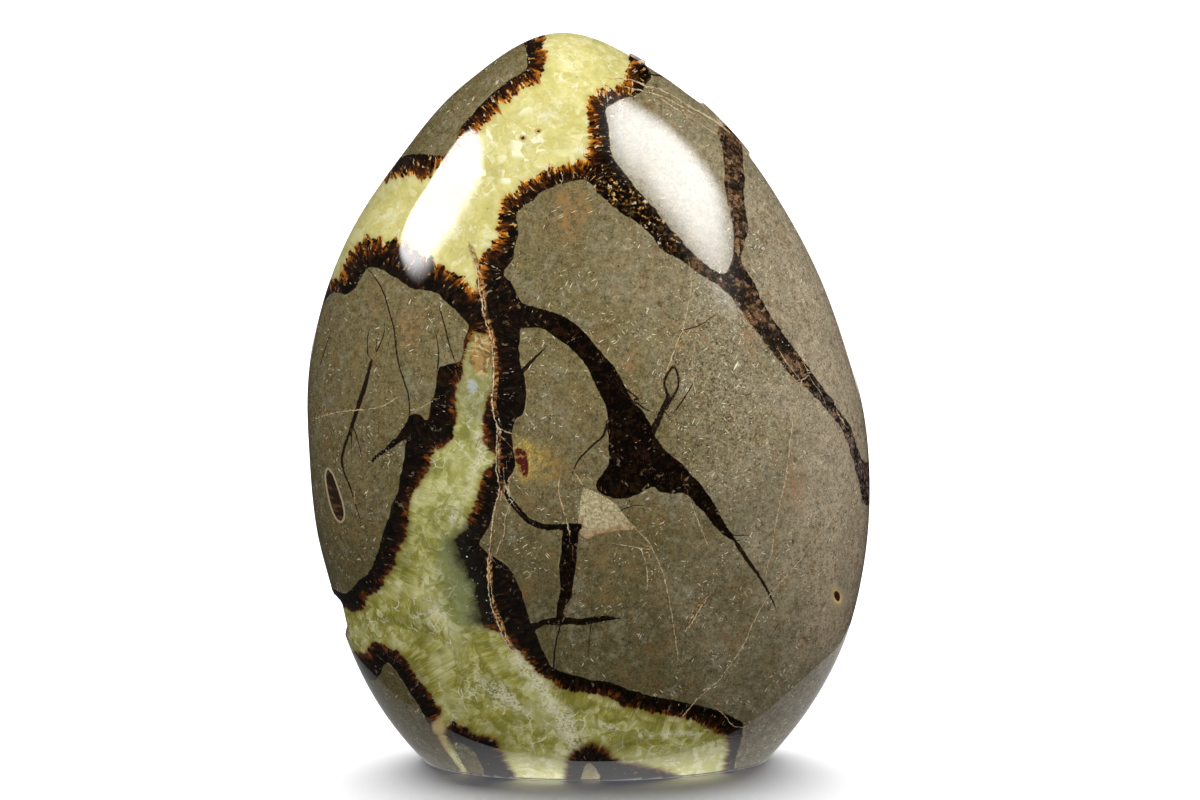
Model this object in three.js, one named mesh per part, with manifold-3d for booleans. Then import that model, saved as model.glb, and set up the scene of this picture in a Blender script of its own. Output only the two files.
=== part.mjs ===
// A polished septarian nodule, cut flat underneath so that it stands upright.
//
// The stone is one piece: grey limestone, brown aragonite and yellow calcite are grown together
// and ground to one smooth skin, so it is one mesh. Millimetres, +Z up, front towards -Y.
// The origin is on the flat base, at the middle of the stone's width and thickness.
//
// The skin is found along rays from a point inside the stone. Two closed forms meet in it:
//   the egg, whose outline seen from the front is a ring of radii, and
//   the bowl, the ground-in flank that draws the stone in to its small flat base.
import * as THREE from 'three';
import { mergeVertices } from 'three/addons/utils/BufferGeometryUtils.js';
import Module from 'manifold-3d';

// ---- driving dimensions ----
const HALF_THICKNESS = 39; // middle of the stone to its front or back
const HEART_HEIGHT = 76; // height of the point that the rays start from
const OUTLINE_STEP = 15; // degrees from one outline radius to the next
const OUTLINE_START = 4; // degrees above +X of the first outline radius
const OUTLINE = [
  63.5, 62.5, 64.5, 69, 76.5, 85, 92.5, 86, 77.5, 72, 68, 65.5, // right side, over the tip, to the left
  64.5, 66.5, 70.5, 80, 91, 98, 97.5, 91, 84, 77, 70.5, 66, // left side, under the base, to the right
];
const FLATNESS = { front: 2.35, back: 2.1 }; // 2 is a plain ellipsoid; more gives a flatter face and rounder edges
const TIP_THINNING = 0.16; // share of the thickness that is lost towards the tip
const BASE_HALF_WIDTH = 41;
const BASE_HALF_DEPTH = 25;
const BASE_OFFSET = 3; // the base sits a little to the right
const BASE_SKEW = 0.067; // and its right end a little further back than its left one
const BOWL_FLARE = 28.7; // how far the flank swells out over the base
const BOWL_RISE = 30; // height over which most of that swelling happens
const BOWL_SPREAD = 0.12; // slope of the bowl above SHOULDER, where the egg takes over
const SHOULDER = 32;
const BOWL_BOTTOM = -10; // below this height, under the saw cut, the flank is straight
const CREASE = 0.01; // softness of the edge where egg and bowl meet, as a share of the radius

// A chip on the left edge, with a sharp step above it and another below.
const NOTCH = { x: -58, halfWidth: 9, halfDepth: 15, top: 38.8, bottom: 31, step: 2, depth: 2.6 };
// The sunken line of a healed crack near the tip, which deepens from left to right.
const LEDGE = { from: [13.5, 157.2], to: [31, 148], halfWidth: 1.5, shallow: 0.25, deep: 0.7 };
const PIT = { x: 56.3, z: 41.5, radius: 1.4, depth: 0.9 };
// Low waves left by hand grinding: height, and length in x, y and z (0 where it doesn't run).
const GRINDING_WAVES = [
  { height: 0.12, x: 11, y: 0, z: 17 },
  { height: 0.1, x: 0, y: -9, z: 13 },
];
const FACE_DETAIL = 20; // splits of each edge of the starting icosahedron
const RAY_REACH = 140;
const RAY_HALVINGS = 34;

const clamp = (v, lo, hi) => Math.min(hi, Math.max(lo, v));
const ramp = (v) => {
  const t = clamp(v, 0, 1);
  return t * t * (3 - 2 * t);
};

// Radius of the outline at an angle in the XZ plane, by a Catmull-Rom curve through the ring.
function outlineRadius(angle) {
  const count = OUTLINE.length;
  const step = THREE.MathUtils.degToRad(OUTLINE_STEP);
  const start = THREE.MathUtils.degToRad(OUTLINE_START);
  const turn = THREE.MathUtils.euclideanModulo(angle - start, 2 * Math.PI) / step;
  const i = Math.floor(turn) % count;
  const t = turn - Math.floor(turn);
  const [a, b, c, d] = [-1, 0, 1, 2].map((k) => OUTLINE[(i + k + count) % count]);
  return b + 0.5 * t * (c - a + t * (2 * a - 5 * b + 4 * c - d + t * (3 * (b - c) + d - a)));
}

// The egg is 1 on its skin, less inside. v is measured from the heart.
function egg(v) {
  const climb = clamp(v.z / v.length(), 0, 1);
  const thickness = HALF_THICKNESS * (1 - TIP_THINNING * climb * climb);
  const across = Math.hypot(v.x, v.z) / outlineRadius(Math.atan2(v.z, v.x));
  const power = v.y < 0 ? FLATNESS.front : FLATNESS.back;
  return (Math.abs(v.y / thickness) ** power + across ** power) ** (1 / power);
}

// The bowl is 1 on its flank, less inside. z is the height above the base.
function bowl(x, y, z) {
  const swell = BOWL_FLARE * (1 - Math.exp(-Math.max(z, BOWL_BOTTOM) / BOWL_RISE));
  const growth = swell + BOWL_SPREAD * Math.max(z - SHOULDER, 0);
  const along = x - BASE_OFFSET;
  const across = y - BASE_SKEW * along;
  return Math.hypot(along / (BASE_HALF_WIDTH + growth), across / (BASE_HALF_DEPTH + growth));
}

// The larger of two forms, with the crease between them rounded.
function meet(a, b) {
  const h = clamp(0.5 + (0.5 * (a - b)) / CREASE, 0, 1);
  return b + (a - b) * h + CREASE * h * (1 - h);
}

// How far the grinding waves lift the skin at a point.
function waves(p) {
  const turns = (at, length) => (length ? at / length : 0);
  return GRINDING_WAVES.reduce(
    (lift, w) => lift + w.height * Math.sin(turns(p.x, w.x) + turns(p.y, w.y) + turns(p.z, w.z)),
    0,
  );
}

// Distance from (x, z) to the straight line of the ledge, and how far along it, 0 to 1.
function alongLedge(x, z) {
  const [x0, z0] = LEDGE.from;
  const dx = LEDGE.to[0] - x0;
  const dz = LEDGE.to[1] - z0;
  const share = clamp(((x - x0) * dx + (z - z0) * dz) / (dx * dx + dz * dz), 0, 1);
  return { share, away: Math.hypot(x - x0 - share * dx, z - z0 - share * dz) };
}

// How deep the skin is broken at a point: the notch, and on the front the ledge and the open pit.
function breakage(p) {
  const beside = ramp(1 - Math.abs(p.x - NOTCH.x) / NOTCH.halfWidth);
  const within = ramp((NOTCH.top - p.z) / NOTCH.step + 0.5) * ramp((p.z - NOTCH.bottom) / NOTCH.step + 0.5);
  const notch = NOTCH.depth * beside * within * ramp((NOTCH.halfDepth - Math.abs(p.y)) / NOTCH.halfWidth);
  if (p.y > 0) return notch;
  const { share, away } = alongLedge(p.x, p.z);
  const fall = LEDGE.shallow + (LEDGE.deep - LEDGE.shallow) * share;
  const fromPit = Math.hypot(p.x - PIT.x, p.z - PIT.z);
  return notch + fall * ramp(1 - away / LEDGE.halfWidth) + PIT.depth * ramp(1 - fromPit / PIT.radius);
}

// The skin's point along one ray from the heart.
function skinPoint(direction) {
  const heart = new THREE.Vector3(0, 0, HEART_HEIGHT);
  const offset = new THREE.Vector3();
  let [inside, outside] = [1, RAY_REACH];
  for (let k = 0; k < RAY_HALVINGS; k++) {
    const reach = (inside + outside) / 2;
    offset.copy(direction).multiplyScalar(reach);
    const form = meet(egg(offset), bowl(offset.x, offset.y, offset.z + HEART_HEIGHT));
    if (form < 1) inside = reach;
    else outside = reach;
  }
  const point = offset.copy(direction).multiplyScalar(inside).add(heart);
  const lift = waves(point) - breakage(point);
  return point.addScaledVector(direction, lift);
}

// A finely split icosahedron, stretched to the stone's proportions and moved out to its skin.
function stoneBlank() {
  const ball = new THREE.IcosahedronGeometry(1, FACE_DETAIL);
  ball.deleteAttribute('normal');
  ball.deleteAttribute('uv');
  const geometry = mergeVertices(ball, 1e-5);
  const place = geometry.attributes.position;
  const stretch = new THREE.Vector3(OUTLINE[0], HALF_THICKNESS, OUTLINE[6]);
  const direction = new THREE.Vector3();
  for (let i = 0; i < place.count; i++) {
    direction.fromBufferAttribute(place, i).multiply(stretch).normalize();
    place.setXYZ(i, ...skinPoint(direction).toArray());
  }
  return geometry;
}

const wasm = await Module();
wasm.setup();

// A closed geometry as a solid that can be cut.
function solid(geometry) {
  return new wasm.Manifold(
    new wasm.Mesh({
      numProp: 3,
      vertProperties: new Float32Array(geometry.attributes.position.array),
      triVerts: new Uint32Array(geometry.index.array),
    }),
  );
}

// A box that holds everything below the base plane.
function sawWaste() {
  const side = 2 * RAY_REACH;
  const box = new THREE.BoxGeometry(side, side, side).translate(0, 0, -side / 2);
  box.deleteAttribute('normal');
  box.deleteAttribute('uv');
  return mergeVertices(box);
}

// The blank with its bottom sawn off flat.
function nodule() {
  const cut = solid(stoneBlank()).subtract(solid(sawWaste())).getMesh();
  const geometry = new THREE.BufferGeometry();
  geometry.setAttribute('position', new THREE.BufferAttribute(new Float32Array(cut.vertProperties), 3));
  geometry.setIndex(new THREE.BufferAttribute(new Uint32Array(cut.triVerts), 1));
  geometry.computeVertexNormals();
  const polishedStone = new THREE.MeshStandardMaterial({ color: 0x6f6a5c, roughness: 0.12, metalness: 0 });
  const mesh = new THREE.Mesh(geometry, polishedStone);
  mesh.name = 'nodule';
  return mesh;
}

const stone = new THREE.Group();
stone.add(nodule());

export default stone;
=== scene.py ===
# %% [markdown]
# # A polished septarian nodule
#
# A septarian nodule began as a ball of limy mud on a sea bed. It shrank and cracked inside, and
# minerals grew into the cracks: first a dark brown rim of aragonite on each wall, then yellow
# calcite in what was left of the gap. This one was sawn flat underneath and ground and polished
# to an egg that stands by itself.
#
# Everything on its face is one smooth skin, so the work here is of two kinds. The skin is one
# finely divided mesh that follows the same formulas as the solid part. The veins, crystals and
# shell chips are only colour, and they are drawn on that skin by a material.
#
# Lengths of the stone are given in millimetres, as a lapidary would, and times MM they are metres.

# %% Frame
import math
import bmesh
import bpy
import numpy as np
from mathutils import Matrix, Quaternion, Vector


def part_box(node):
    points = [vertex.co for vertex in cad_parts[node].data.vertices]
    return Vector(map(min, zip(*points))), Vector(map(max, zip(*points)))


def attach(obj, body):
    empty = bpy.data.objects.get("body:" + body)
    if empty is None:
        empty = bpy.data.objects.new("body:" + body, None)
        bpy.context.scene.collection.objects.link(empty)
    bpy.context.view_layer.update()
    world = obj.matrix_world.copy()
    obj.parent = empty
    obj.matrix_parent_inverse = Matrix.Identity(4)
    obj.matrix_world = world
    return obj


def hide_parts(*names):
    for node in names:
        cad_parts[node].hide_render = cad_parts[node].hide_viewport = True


MM = 0.001
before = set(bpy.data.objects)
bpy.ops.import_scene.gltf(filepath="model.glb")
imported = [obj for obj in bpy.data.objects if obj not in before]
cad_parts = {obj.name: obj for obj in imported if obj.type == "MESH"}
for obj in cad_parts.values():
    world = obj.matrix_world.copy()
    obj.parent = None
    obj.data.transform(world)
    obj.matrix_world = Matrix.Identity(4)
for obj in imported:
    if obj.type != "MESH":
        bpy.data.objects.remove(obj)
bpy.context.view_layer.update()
nodule_low, nodule_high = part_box("nodule")
print("solid part:", [round(v / MM, 1) for v in (*nodule_low, *nodule_high)], "mm")

# %% [markdown]
# ## Shader maths as plain sums
#
# Materials, lamps and the world are nets of nodes, and a sum of two values is one node. Written
# out, that is long and hard to read, so a small class wraps a socket and makes the nodes while
# Python works out an ordinary expression. It works in one tree at a time.

# %% Shader helper
class Wire:
    """A value on its way through the nodes of Wire.tree."""

    tree = None

    def __init__(self, socket):
        self.socket = socket

    @staticmethod
    def node(kind, settings=None, sockets=None, output=0):
        """A node of a kind, with its settings, then its sockets as values or as wires."""
        made = Wire.tree.nodes.new("ShaderNode" + kind)
        for name, value in (settings or {}).items():
            setattr(made, name, value)
        for name, value in (sockets or {}).items():
            if isinstance(value, Wire):
                Wire.tree.links.new(value.socket, made.inputs[name])
            else:
                made.inputs[name].default_value = value
        return Wire(made.outputs[output]) if made.outputs else None

    def other(self, output):
        """Another output of the node that this value comes from."""
        return Wire(self.socket.node.outputs[output])

    def math(self, operation, *others):
        return Wire.node("Math", {"operation": operation}, dict(enumerate((self, *others))))

    def __add__(self, other):
        return self.math("ADD", other)

    def __sub__(self, other):
        return self.math("SUBTRACT", other)

    def __mul__(self, other):
        return self.math("MULTIPLY", other)

    def __pow__(self, other):
        return self.math("POWER", other)

    def __rsub__(self, other):
        return Wire.node("Math", {"operation": "SUBTRACT"}, {0: other, 1: self})

    __radd__ = __add__
    __rmul__ = __mul__

    def __abs__(self):
        return self.math("ABSOLUTE")

    def at_least(self, other):
        return self.math("MAXIMUM", other)

    def fade(self, start, end):
        """0 at start, 1 at end and smooth between. Start may be the larger one."""
        values = {"Value": self, "From Min": start, "From Max": end}
        return Wire.node("MapRange", {"interpolation_type": "SMOOTHSTEP"}, values)


def parts(vector):
    """The three numbers of a vector or a colour."""
    first = Wire.node("SeparateXYZ", None, {0: vector})
    return first, first.other(1), first.other(2)


def empty_tree(owner):
    """Turns to the node tree of a material, lamp or world, and clears it."""
    owner.use_nodes = True
    Wire.tree = owner.node_tree
    Wire.tree.nodes.clear()


# %% [markdown]
# ## The camera
#
# The stone is looked at from a little above its middle, from far enough away that it keeps its
# proportions. A long lens does that. The camera could be turned by hand, but aiming it with
# `to_track_quat` is exact: the -Z axis of a camera is the way it looks, and Y is its top.

# %% Camera
IMAGE_WIDTH = 1200  # pixels
SENSOR_WIDTH = 36.0  # mm, Blender's own
CAMERA_ELEVATION = math.radians(8.0)
CAMERA_DISTANCE = 900 * MM
PIXELS_PER_MM = 4.35  # at the point that the camera looks at
CLIP_END = 100.0  # m, past the far edge of the floor
camera_aim = Vector((2.6, 0.0, 83.6)) * MM

camera_data = bpy.data.cameras.new("studio_camera")
camera_data.sensor_width = SENSOR_WIDTH
camera_data.lens = PIXELS_PER_MM * CAMERA_DISTANCE / MM / IMAGE_WIDTH * SENSOR_WIDTH
camera_data.clip_end = CLIP_END
camera = bpy.data.objects.new("studio_camera", camera_data)
bpy.context.collection.objects.link(camera)
from_aim = Vector((0, -math.cos(CAMERA_ELEVATION), math.sin(CAMERA_ELEVATION)))
camera.location = camera_aim + from_aim * CAMERA_DISTANCE
camera.rotation_euler = (-from_aim).to_track_quat("-Z", "Y").to_euler()
bpy.context.scene.camera = camera
print(f"lens {camera_data.lens:.1f} mm")

# %% [markdown]
# ## The light
#
# A polished stone is a dark mirror: what is seen on it is mostly the lamps. Two soft boxes stand
# to the left and to the right in front of it, and a weaker one behind it for its edges. Each is
# placed by direction, as degrees round from the front and degrees up, because that decides where
# its reflection falls on the skin. An area light is used, and not a sun or a point, because only
# it is mirrored as a bright patch. A real soft box is dimmer towards its rim, so the lamp's own
# shader fades its face out there. Its outline is |u|^n + |v|^n = 1: an ellipse for n = 2, and a
# rounded rectangle for a larger n. The fade can be wider on the right, the foot of the face dimmer
# than its top, and the whole box rolled round the line to the stone, to lean its reflection.


# %% Where a lamp stands
BOX_DISTANCE = 0.9  # m from the middle of the stone


def toward(turn, rise):
    """The direction that is `turn` degrees to the right of the front and `rise` degrees up."""
    turn, rise = math.radians(turn), math.radians(rise)
    flat = math.cos(rise)
    return Vector((math.sin(turn) * flat, -math.cos(turn) * flat, math.sin(rise)))


# %% A soft box
RIM_CHANGE = 0.3, 1.0  # shares of the width between which the right rim takes over from the left
FOOT_HEIGHT = 0.6  # share of the height over which the foot gets brighter
lit_by_boxes = bpy.data.collections.new("lit_by_soft_boxes")


def soft_box(name, turn, rise, width, height, glow, squareness=6, rim=0.3, right_rim=0.3, foot=1.0, roll=0):
    """An area light of width by height metres that faces the stone. `glow` is the brightness at
    the middle of its face, and the rims are the shares of it over which that fades out."""
    lamp = bpy.data.lights.new(name, "AREA")
    lamp.shape = "RECTANGLE"
    lamp.size, lamp.size_y = width, height
    lamp.energy = glow * math.pi * width * height
    empty_tree(lamp)
    u, v, _ = parts(Wire.node("NewGeometry", output="Parametric"))
    inner = 1 - rim - u.fade(*RIM_CHANGE) * (right_rim - rim)
    dimming = v.fade(0.0, FOOT_HEIGHT) * (1 - foot) + foot
    u, v = abs(u * 2 - 1), abs(v * 2 - 1)
    outline = (u**squareness + v**squareness) ** (1 / squareness)
    shine = Wire.node("Emission", None, {"Strength": outline.fade(1.0, inner) * dimming})
    Wire.node("OutputLight", None, {"Surface": shine})
    box = bpy.data.objects.new(name, lamp)
    direction = toward(turn, rise)
    box.location = camera_aim + direction * BOX_DISTANCE
    facing = (-direction).to_track_quat("-Z", "Y")
    box.rotation_euler = (facing @ Quaternion((0, 0, 1), math.radians(roll))).to_euler()
    box.light_linking.receiver_collection = lit_by_boxes
    bpy.context.collection.objects.link(box)
    print(f"{name}: {width:.2f} x {height:.2f} m, glow {glow}")
    return box


# %% The three soft boxes
soft_box("left_soft_box", -57.2, 36.0, 0.56, 0.31, glow=14,
         squareness=2.6, rim=0.12, right_rim=0.5, roll=-18.7)
soft_box("right_soft_box", 47.5, 42, 0.62, 0.74, glow=14,
         squareness=2.8, rim=0.62, right_rim=0.66, foot=0.85, roll=-48.6)
soft_box("back_soft_box", 180, 12, 0.9, 0.6, glow=7)

# %% [markdown]
# White paper also throws light back up at the stone, most of it at its lower half. The floor here
# is only seen by the camera, so one more wide, weak box in front does that. It is kept out of
# the reflections, because the polish of the real stone shows no third lamp.

# %% Light thrown back by the paper
bounce = soft_box("paper_bounce", -10, -8, 1.2, 0.8, glow=1.4)
bounce.visible_glossy = False

# %% [markdown]
# ## The shape of the stone
#
# Two closed forms meet in the skin: an egg, whose outline seen from the front is a ring of radii
# round a point inside it, the heart, and a bowl, the flank that was ground in to meet the small
# flat base. Both are written so that they are 1 on their own surface and less inside, and the
# larger of the two wins. Numpy works them out for all points of the mesh at once.

# %% Measures of the egg and the bowl
HALF_THICKNESS = 39.0
HEART = np.array([0.0, 0.0, 76.0])
OUTLINE_STEP = math.radians(15)
OUTLINE_START = math.radians(4)
OUTLINE = np.array([
    63.5, 62.5, 64.5, 69, 76.5, 85, 92.5, 86, 77.5, 72, 68, 65.5,
    64.5, 66.5, 70.5, 80, 91, 98, 97.5, 91, 84, 77, 70.5, 66,
])
FLATNESS_FRONT, FLATNESS_BACK = 2.35, 2.1
TIP_THINNING = 0.16
BASE_HALF_WIDTH, BASE_HALF_DEPTH, BASE_OFFSET, BASE_SKEW = 41.0, 25.0, 3.0, 0.067
BOWL_FLARE, BOWL_RISE, BOWL_SPREAD, SHOULDER = 28.7, 30.0, 0.12, 32.0
BOWL_BOTTOM = -10.0
CREASE = 0.01  # softness of the edge where egg and bowl meet, as a share of the radius
print(f"the egg's outline is {OUTLINE.min()} to {OUTLINE.max()} mm from its heart")


# %% Form of the skin
def outline_radius(angle):
    """Radius of the outline at an angle, by a Catmull-Rom curve through the ring."""
    turn = ((angle - OUTLINE_START) % (2 * math.pi)) / OUTLINE_STEP
    first = np.floor(turn).astype(int)
    t = turn - first
    a, b, c, d = (OUTLINE[(first + k) % len(OUTLINE)] for k in (-1, 0, 1, 2))
    return b + 0.5 * t * (c - a + t * (2 * a - 5 * b + 4 * c - d + t * (3 * (b - c) + d - a)))


def egg(v):
    climb = np.clip(v[:, 2] / np.linalg.norm(v, axis=1), 0, 1)
    thickness = HALF_THICKNESS * (1 - TIP_THINNING * climb**2)
    across = np.hypot(v[:, 0], v[:, 2]) / outline_radius(np.arctan2(v[:, 2], v[:, 0]))
    power = np.where(v[:, 1] < 0, FLATNESS_FRONT, FLATNESS_BACK)
    return (np.abs(v[:, 1] / thickness) ** power + across**power) ** (1 / power)


def bowl(p):
    swell = BOWL_FLARE * (1 - np.exp(-np.maximum(p[:, 2], BOWL_BOTTOM) / BOWL_RISE))
    growth = swell + BOWL_SPREAD * np.maximum(p[:, 2] - SHOULDER, 0)
    along = p[:, 0] - BASE_OFFSET
    across = p[:, 1] - BASE_SKEW * along
    return np.hypot(along / (BASE_HALF_WIDTH + growth), across / (BASE_HALF_DEPTH + growth))


def form(v):
    """The larger of egg and bowl, with the crease between them rounded."""
    a, b = egg(v), bowl(v + HEART)
    h = np.clip(0.5 + 0.5 * (a - b) / CREASE, 0, 1)
    return b + (a - b) * h + CREASE * h * (1 - h)


# %% [markdown]
# ## What is broken in the skin
#
# A few things aren't colour but real relief: the low waves of hand grinding, a chip out of the
# left edge, the sunken line of a healed crack near the tip, and one open pit. Each is a depth that
# fades out around its place, and the skin is pushed in by their sum.

# %% Waves, notch, ledge and pit
NOTCH_X, NOTCH_HALF_WIDTH, NOTCH_HALF_DEPTH = -58.0, 9.0, 15.0
NOTCH_TOP, NOTCH_BOTTOM, NOTCH_STEP, NOTCH_DEPTH = 38.8, 31.0, 2.0, 2.6
LEDGE_FROM, LEDGE_TO, LEDGE_HALF_WIDTH = (13.5, 157.2), (31.0, 148.0), 1.5
LEDGE_SHALLOW, LEDGE_DEEP = 0.25, 0.7
PIT_X, PIT_Z, PIT_RADIUS, PIT_DEPTH = 56.3, 41.5, 1.4, 0.9
# Two grinding waves: how high they are, and how many mm they take for one radian of the wave.
BROAD_WAVE, BROAD_X, BROAD_Z = 0.12, 11, 17
FINE_WAVE, FINE_Y, FINE_Z = 0.1, 9, 13


def ease(v):
    t = np.clip(v, 0, 1)
    return t * t * (3 - 2 * t)


def relief(p):
    """How far each skin point is moved outwards (or, if negative, inwards)."""
    x, y, z = p[:, 0], p[:, 1], p[:, 2]
    waves = BROAD_WAVE * np.sin(x / BROAD_X + z / BROAD_Z) + FINE_WAVE * np.sin(z / FINE_Z - y / FINE_Y)
    beside = ease(1 - np.abs(x - NOTCH_X) / NOTCH_HALF_WIDTH)
    within = ease((NOTCH_TOP - z) / NOTCH_STEP + 0.5) * ease((z - NOTCH_BOTTOM) / NOTCH_STEP + 0.5)
    inward = ease((NOTCH_HALF_DEPTH - np.abs(y)) / NOTCH_HALF_WIDTH)
    notch = NOTCH_DEPTH * beside * within * inward
    run, drop = LEDGE_TO[0] - LEDGE_FROM[0], LEDGE_TO[1] - LEDGE_FROM[1]
    along = ((x - LEDGE_FROM[0]) * run + (z - LEDGE_FROM[1]) * drop) / (run**2 + drop**2)
    along = np.clip(along, 0, 1)
    away = np.hypot(x - LEDGE_FROM[0] - along * run, z - LEDGE_FROM[1] - along * drop)
    ledge = (LEDGE_SHALLOW + (LEDGE_DEEP - LEDGE_SHALLOW) * along) * ease(1 - away / LEDGE_HALF_WIDTH)
    pit = PIT_DEPTH * ease(1 - np.hypot(x - PIT_X, z - PIT_Z) / PIT_RADIUS)
    return waves - notch - np.where(y < 0, ledge + pit, 0)


# %% [markdown]
# ## The mesh
#
# A sphere from the menu has poles, where the faces crowd together. A box that is cut along its
# three directions and blown up to a ball has none, and its faces can be kept about as large on
# the broad front as on the narrow sides. So a cube is made, loop cuts are put in with
# `subdivide_edges`, one direction after the other, and every vertex is then moved out from the
# heart until it meets the form. `bisect_plane` puts a crisp edge where the saw cut runs.

# %% How fine the mesh is
CUTS = {0: 146, 1: 64, 2: 182}  # loop cuts along X, Y and Z
REACH = 160.0  # mm from the heart, outside the stone in every direction
HALVINGS = 30  # of the stretch in which the skin is looked for
STRETCH = np.array([64.0, HALF_THICKNESS, 92.0])  # about half the stone's size
ON_BASE = 0.02  # mm; a point this close to the saw cut counts as on it
print("a box of", " by ".join(str(cuts + 1) for cuts in CUTS.values()), "faces")


# %% Tools for the mesh
def loop_cut(shape, axis, cuts):
    """Cuts all edges that run along one axis, as a loop cut does in the editor."""
    shape.edges.ensure_lookup_table()
    along = [e for e in shape.edges if abs((e.verts[1].co - e.verts[0].co).normalized()[axis]) > 0.9]
    bmesh.ops.subdivide_edges(shape, edges=along, cuts=cuts, use_grid_fill=True)


def coordinates(shape):
    return np.array([v.co[:] for v in shape.verts])


def place_verts(shape, points):
    for vert, point in zip(shape.verts, points):
        vert.co = point


# %% The box, blown up to the skin
skin = bmesh.new()
bmesh.ops.create_cube(skin, size=2.0)
for axis, cuts in CUTS.items():
    loop_cut(skin, axis, cuts)
ray = np.tan(coordinates(skin) * math.pi / 4) * STRETCH
ray /= np.linalg.norm(ray, axis=1)[:, None]
inside, outside = np.ones(len(ray)), np.full(len(ray), REACH)
for _ in range(HALVINGS):
    middle = (inside + outside) / 2
    within = form(ray * middle[:, None]) < 1
    inside, outside = np.where(within, middle, inside), np.where(within, outside, middle)
skin_points = HEART + ray * inside[:, None]
skin_points += ray * relief(skin_points)[:, None]
place_verts(skin, skin_points)
print("the skin reaches down to", round(skin_points[:, 2].min(), 1), "mm")

# %% [markdown]
# Points below the saw cut are moved along their rays up to its plane. That keeps the mesh closed
# without a new face, where cutting them off would leave a hole to fill.

# %% The saw cut
whole = list(skin.verts) + list(skin.edges) + list(skin.faces)
bmesh.ops.bisect_plane(skin, geom=whole, plane_co=(0, 0, 0), plane_no=(0, 0, 1), dist=ON_BASE)
points = coordinates(skin)
below = points[:, 2] < 0
share = HEART[2] / (HEART[2] - points[below, 2])
points[below] = HEART + (points[below] - HEART) * share[:, None]
place_verts(skin, points)
bmesh.ops.recalc_face_normals(skin, faces=skin.faces)
print(f"{len(skin.verts)} points, {len(skin.faces)} faces")

# %% [markdown]
# ## The floor and the room
#
# The stone stands on white paper in a dim room. The room has to be dim, or the polish would mirror
# it and the brown veins would turn grey. So the paper, and the white behind everything, are shown
# to the camera only: the floor is hidden from mirrored rays, and the Light Path node does the same
# for the world. The paper has a light of its own, a sun with a very wide disc, that comes from
# behind and above. It makes the soft dark shadow in front of the foot.

# %% Floor
PAPER_RADIUS = 6.0
PAPER_TONE = 0.9
PAPER_GLOW = (0.035, 0.037, 0.055, 1)  # what the room throws into the darkest part of the shadow
ROUND = 96  # sides of a circle that looks round


def lay_down(name, mesh):
    """Puts a sheet of the stage in place. It isn't part of the object."""
    sheet = bpy.data.objects.new(name, mesh)
    bpy.context.collection.objects.link(sheet)
    return sheet


disc = bmesh.new()
bmesh.ops.create_circle(disc, cap_ends=True, segments=ROUND, radius=PAPER_RADIUS)
floor_mesh = bpy.data.meshes.new("floor")
disc.to_mesh(floor_mesh)
disc.free()
paper = bpy.data.materials.new("white_paper")
empty_tree(paper)
matt = Wire.node("BsdfDiffuse", None, {"Color": (PAPER_TONE, PAPER_TONE, PAPER_TONE, 1)})
faint = Wire.node("Emission", None, {"Color": PAPER_GLOW, "Strength": 1.0})
Wire.node("OutputMaterial", None, {"Surface": Wire.node("AddShader", None, {0: matt, 1: faint})})
floor_mesh.materials.append(paper)
floor = lay_down("floor", floor_mesh)
floor.visible_glossy = False
floor.visible_diffuse = False
floor.visible_shadow = False
print("floor:", 2 * PAPER_RADIUS, "m across")

# %% Light on the paper
SUN_STRENGTH = 8.2
SUN_WIDTH = math.radians(90)
SUN_LEAN = math.radians(40)

sun = bpy.data.lights.new("paper_sun", "SUN")
sun.energy = SUN_STRENGTH
sun.angle = SUN_WIDTH
paper_sun = bpy.data.objects.new("paper_sun", sun)
paper_sun.rotation_euler = (-SUN_LEAN, 0, 0)
lit_by_sun = bpy.data.collections.new("lit_by_sun")
lit_by_sun.objects.link(floor)
paper_sun.light_linking.receiver_collection = lit_by_sun
bpy.context.collection.objects.link(paper_sun)

# %% [markdown]
# The ground-in flank over the base faces the ground, and mirrors the lit paper right under the
# stone, while the face above its crease mirrors paper further forward that is dark. So a glowing
# disc lies under the floor that only reflections and soft light see. Its squarish outline keeps
# it inside the crease all the way round. It gets brighter towards the right, and brighter still
# in the middle.

# %% Glow under the stone
GLOW_X, GLOW_Y, GLOW_HALF_X, GLOW_HALF_Y = 0.004, 0.059, 0.093, 0.090
GLOW_DEPTH = 0.0002
GLOW_SQUARENESS = 3
GLOW_LEFT, GLOW_RIGHT, GLOW_MIDDLE = 0.28, 0.6, 0.6  # the middle's is added to the others
FULL_FROM = 0.3  # share of the half width from which the right is fully lit
MIDDLE_RIM, MIDDLE_CORE = 0.5, 0.1  # shares between which the middle brightens

sheet = bmesh.new()
bmesh.ops.create_circle(sheet, cap_ends=True, segments=ROUND, radius=1.0)
for vert in sheet.verts:
    size = sum(abs(c) ** GLOW_SQUARENESS for c in vert.co[:2]) ** (1 / GLOW_SQUARENESS)
    x, y = vert.co.x / size * GLOW_HALF_X, vert.co.y / size * GLOW_HALF_Y
    vert.co = (GLOW_X + x, GLOW_Y + y + BASE_SKEW * x, -GLOW_DEPTH)
glow_mesh = bpy.data.meshes.new("paper_glow")
sheet.to_mesh(glow_mesh)
sheet.free()
glowing = bpy.data.materials.new("paper_glow")
empty_tree(glowing)
across, _, _ = parts(Wire.node("TexCoord", output="Object"))
level = across.fade(-GLOW_HALF_X, GLOW_HALF_X * FULL_FROM) * (GLOW_RIGHT - GLOW_LEFT) + GLOW_LEFT
in_middle = abs(across).fade(GLOW_HALF_X * MIDDLE_RIM, GLOW_HALF_X * MIDDLE_CORE)
level = level + in_middle * GLOW_MIDDLE
Wire.node("OutputMaterial", None, {"Surface": Wire.node("Emission", None, {"Strength": level})})
glow_mesh.materials.append(glowing)
glow = lay_down("paper_glow", glow_mesh)
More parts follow.
